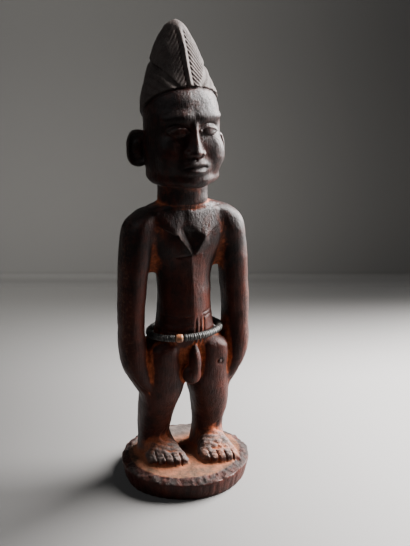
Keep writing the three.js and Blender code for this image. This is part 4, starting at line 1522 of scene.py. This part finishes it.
BARREL_SIDES = 48
BARREL_RINGS = 24
BARREL_SQUARE = 4.2
BARREL_SWELL = 0.03


def barrel_mesh():
    """The pale bead: a worn barrel, a little lopsided, with a bore for the thread."""
    middle = bead_middle() + WORLD_PLACE
    radius = PALE_BEAD_DIAMETER / 2
    half = PALE_BEAD_LENGTH / 2
    points, _ = ring_places()
    nearest = np.argmin(np.linalg.norm(points - middle, axis=1))
    ahead = points[nearest + 1] - points[nearest - 1]
    bore = THREAD_DIAMETER / 2 + CLEARANCE
    outer = []
    for ring in range(BARREL_RINGS + 1):
        share = 2 * ring / BARREL_RINGS - 1
        outer.append((bore + (radius - bore) * (1 - abs(share) ** BARREL_SQUARE) ** 0.5, half * share))
    profile = outer + [(bore, half * 0.6), (bore, 0), (bore, -half * 0.6)]
    vertices, faces = turned_ring(profile, BARREL_SIDES)
    angle = np.arctan2(vertices[:, 1], vertices[:, 0])
    outside = np.hypot(vertices[:, 0], vertices[:, 1]) > bore + 0.05
    swell = 1 + BARREL_SWELL * outside * np.sin(2 * angle + vertices[:, 2])
    vertices[:, :2] *= swell[:, None]
    stand = np.array(Vector(ahead).to_track_quat("Z", "Y").to_matrix())
    edge = np.clip(np.abs(vertices[:, 2]) / half * 1.6 - 0.7, 0, 1)
    mesh = bpy.data.meshes.new("pale_barrel_bead")
    mesh.from_pydata((vertices @ stand.T + middle) * MM, [], faces)
    set_attribute(mesh, "edge", edge)
    mesh.shade_smooth()
    return mesh


# The stage

CAMERA_AZIMUTH = math.radians(-22)
CAMERA_ELEVATION = math.radians(18.153)
CAMERA_DISTANCE = 530.03 * MM
CAMERA_SIDE = 12.532 * MM
CAMERA_HEIGHT = 130.2 * MM
SENSOR_WIDTH = 36
CLIP_START = 0.01
STAGE_RIGHT = Vector((math.cos(CAMERA_AZIMUTH), math.sin(CAMERA_AZIMUTH), 0))
STAGE_AWAY = Vector((-math.sin(CAMERA_AZIMUTH), math.cos(CAMERA_AZIMUTH), 0))

# The sweep, in metres.
WALL_AWAY = 0.36
WALL_BEND = 0.012
WALL_HEIGHT = 0.8
WALL_ENDS = (-0.7, 0.33)
FLOOR_FRONT = -0.3
# Painted light: shares of the floor's colour where it is painted dim and where it is painted lit, and of
# the backdrop's colour at its left and right end, painted lighter at the left and darker at the right.
FLOOR_PAINTED_LIGHT = (0.3, 1.05)
WALL_FOOT_PAINTED_LIGHT = (0.72, 0.075)
WALL_PAINTED_LIGHT = (2.6, 0.27)
WALL_TOP_PAINTED_LIGHT = (1.75, 0.14)

# The lights, in metres: how far to the right, how far away and how high each one hangs.
KEY_PLACE = (0.77, 0.4, 0.6)
KEY_TARGET = (0, 0, 0.12)
KEY_SIZE = (0.68, 1.1)
KEY_COLOUR = (1.0, 0.985, 0.97)
FILL_PLACE = (-0.55, -0.35, 0.75)
FILL_TARGET = (0, 0, 0.2)
FILL_SIZE = (0.5, 0.5)
FILL_COLOUR = (0.94, 0.97, 1.0)
ROOM_COLOUR = (0.75, 0.78, 0.82)
ROOM_STRENGTH = 0.015


def on_stage(right, away, height):
    """A place told from the figure's, as the camera sees it."""
    return STAGE_RIGHT * right + STAGE_AWAY * away + Vector((0, 0, height))


def sweep_mesh():
    """A floor that bends up into a backdrop behind the figure."""
    bend = [(WALL_AWAY - WALL_BEND * (1 - math.sin(a)), WALL_BEND * (1 - math.cos(a)))
            for a in np.radians(np.linspace(0, 90, 13))]
    profile = [(FLOOR_FRONT, 0), *bend, (WALL_AWAY, WALL_HEIGHT)]
    vertices = [on_stage(end, away, height) for away, height in profile for end in WALL_ENDS]
    faces = [(i, i + 1, i + 3, i + 2) for i in range(0, 2 * len(profile) - 2, 2)]
    mesh = bpy.data.meshes.new("sweep")
    mesh.from_pydata(vertices, [], faces)
    mesh.shade_smooth()
    return mesh


def sweep_material():
    """A pale floor with painted shade, dimmer at the left and in front, that turns to the backdrop's grey
    before the bend. The backdrop has painted light falloff: darker at the right, at its foot and at its
    top.
    """
    stage = bpy.context.scene.figure_stage
    material, tree, shader = new_material("Floor and backdrop")
    place = node(tree, "ShaderNodeTexCoord").outputs["Object"]
    right, away, height = (
        node(tree, "ShaderNodeVectorMath", {0: place, 1: way}, operation="DOT_PRODUCT").outputs["Value"]
        for way in (STAGE_RIGHT, STAGE_AWAY, Vector((0, 0, 1))))

    cloud = use(tree, "Blotches", Scale=3.0, Low=0.2, High=0.8)
    floor = mixed(tree, cloud, rgba(stage.floor, 0.97), rgba(stage.floor, 1.03))
    # Painted shade: the floor is darker at the left and in front, away from the key light.
    lit = ranged(tree, weighed(tree, (right, 1.0), (away, 0.5)), -0.2, 0.2)
    shade = mixed(tree, lit, *(rgba((share, share, share)) for share in FLOOR_PAINTED_LIGHT))
    floor = mixed(tree, 1.0, floor, shade, "MULTIPLY")

    # Painted light falloff on the backdrop: lighter at the left, darker at the right, at its foot and
    # towards its top.
    dark = ranged(tree, right, -0.25, 0.25)
    foot, wall, top = (
        mixed(tree, dark, *(rgba(stage.backdrop, share) for share in shades))
        for shades in (WALL_FOOT_PAINTED_LIGHT, WALL_PAINTED_LIGHT, WALL_TOP_PAINTED_LIGHT))
    wall = mixed(tree, ranged(tree, height, 0.05, 0.28), wall, top)
    grey = mixed(tree, ranged(tree, height, 0.003, 0.015), foot, wall)
    # Painted shade: the floor's far part darkens into the backdrop's grey towards the bend.
    behind = ranged(tree, away, 0.12, 0.33)

    # Seen from behind, the backdrop does not hide the figure.
    reverse = node(tree, "ShaderNodeNewGeometry").outputs["Backfacing"]
    seen = node(tree, "ShaderNodeLightPath").outputs["Is Camera Ray"]
    shown = math_node(tree, "SUBTRACT", 1.0, times(tree, reverse, seen))
    feed(tree, shader, {"Base Color": mixed(tree, behind, floor, grey), "Alpha": shown})
    shader.inputs["Roughness"].default_value = 0.85
    shader.inputs["Specular IOR Level"].default_value = 0.1
    return material


def area_light(name, place, target, size, power, colour):
    """A soft rectangular light that hangs at a place on the stage and looks at a target."""
    data = bpy.data.lights.new(name, "AREA")
    data.shape = "RECTANGLE"
    data.size, data.size_y = size
    data.energy = power
    data.color = colour
    light = bpy.data.objects.new(name, data)
    light.location = on_stage(*place)
    light.rotation_euler = (Vector(target) - light.location).to_track_quat("-Z", "Y").to_euler()
    bpy.context.scene.collection.objects.link(light)


def make_room():
    """The dim light of the room round the stage."""
    world = bpy.data.worlds.new("studio")
    bpy.context.scene.world = world
    world.use_nodes = True
    background = world.node_tree.nodes["Background"]
    background.inputs["Color"].default_value = rgba(ROOM_COLOUR)
    background.inputs["Strength"].default_value = ROOM_STRENGTH


def make_camera(lens):
    """The camera stands in front of the figure, to its right and a little higher than its crest."""
    level = math.cos(CAMERA_ELEVATION)
    back = Vector((math.sin(CAMERA_AZIMUTH) * level, -math.cos(CAMERA_AZIMUTH) * level,
                   math.sin(CAMERA_ELEVATION)))
    aim = STAGE_RIGHT * CAMERA_SIDE + Vector((FIGURE_PLACE[0] * MM, FIGURE_PLACE[1] * MM, CAMERA_HEIGHT))
    data = bpy.data.cameras.new("camera")
    data.lens = lens
    data.sensor_width = SENSOR_WIDTH
    data.clip_start = CLIP_START
    camera = bpy.data.objects.new("camera", data)
    camera.location = aim + back * CAMERA_DISTANCE
    camera.rotation_mode = "QUATERNION"
    camera.rotation_quaternion = (-back).to_track_quat("-Z", "Y")
    bpy.context.scene.collection.objects.link(camera)
    bpy.context.scene.camera = camera


# Operators


class FIGURE_OT_carve(bpy.types.Operator):
    """Carve the figure and its base out of one block of wood"""
    bl_idname = "figure.carve"
    bl_label = "Carve the figure"

    def execute(self, context):
        carving = context.scene.figure_carving
        block = carve_figure(carving)
        mesh = mesh_of(block, "carved_figure", carving.triangles)
        add_masks(mesh, block)
        finish_mesh(mesh, block)
        show(mesh, "carved_figure", [wood_material], ["figure"])
        return {"FINISHED"}


class FIGURE_OT_string(bpy.types.Operator):
    """String the disc beads round the hips, and the one pale bead among them"""
    bl_idname = "figure.string_beads"
    bl_label = "String the beads"

    def execute(self, context):
        mesh = string_mesh(context.scene.figure_beads)
        show(mesh, "bead_string", [disc_material, thread_material], ["hip_beads"])
        show(barrel_mesh(), "pale_barrel_bead", [pale_material], ["pale_bead"])
        return {"FINISHED"}


class FIGURE_OT_stage(bpy.types.Operator):
    """Lay the pale floor, hang the soft lights and place the camera"""
    bl_idname = "figure.set_stage"
    bl_label = "Set the stage"

    def execute(self, context):
        stage = context.scene.figure_stage
        sweep = bpy.data.objects.new("sweep", sweep_mesh())
        sweep.data.materials.append(sweep_material())
        context.scene.collection.objects.link(sweep)
        area_light("key", KEY_PLACE, KEY_TARGET, KEY_SIZE, stage.key, KEY_COLOUR)
        area_light("fill", FILL_PLACE, FILL_TARGET, FILL_SIZE, stage.fill, FILL_COLOUR)
        make_room()
        make_camera(stage.lens)
        return {"FINISHED"}


class FIGURE_PT_panel(bpy.types.Panel):
    """Lists the steps and sizes of the figure"""
    bl_idname = "FIGURE_PT_panel"
    bl_label = "Carved figure"
    bl_space_type = "VIEW_3D"
    bl_region_type = "UI"
    bl_category = "Figure"

    def draw(self, context):
        for group, operator in PANEL_ROWS:
            box = self.layout.box()
            settings = getattr(context.scene, group)
            for name in settings.__annotations__:
                box.prop(settings, name)
            if operator:
                box.operator(operator)


PANEL_ROWS = [
    ("figure_carving", "figure.carve"),
    ("figure_patina", ""),
    ("figure_beads", "figure.string_beads"),
    ("figure_stage", "figure.set_stage"),
]
SETTINGS = {
    "figure_carving": CarvingSettings,
    "figure_patina": PatinaSettings,
    "figure_beads": BeadSettings,
    "figure_stage": StageSettings,
}
CLASSES = [*SETTINGS.values(), FIGURE_OT_carve, FIGURE_OT_string, FIGURE_OT_stage, FIGURE_PT_panel]


def register():
    for cls in CLASSES:
        bpy.utils.register_class(cls)
    for name, cls in SETTINGS.items():
        setattr(bpy.types.Scene, name, bpy.props.PointerProperty(type=cls))


def unregister():
    for name in SETTINGS:
        delattr(bpy.types.Scene, name)
    for cls in reversed(CLASSES):
        bpy.utils.unregister_class(cls)


def main():
    register()
    bpy.ops.figure.carve()
    bpy.ops.figure.string_beads()
    bpy.ops.figure.set_stage()
    bpy.context.view_layer.update()


if __name__ == "__main__":
    main()
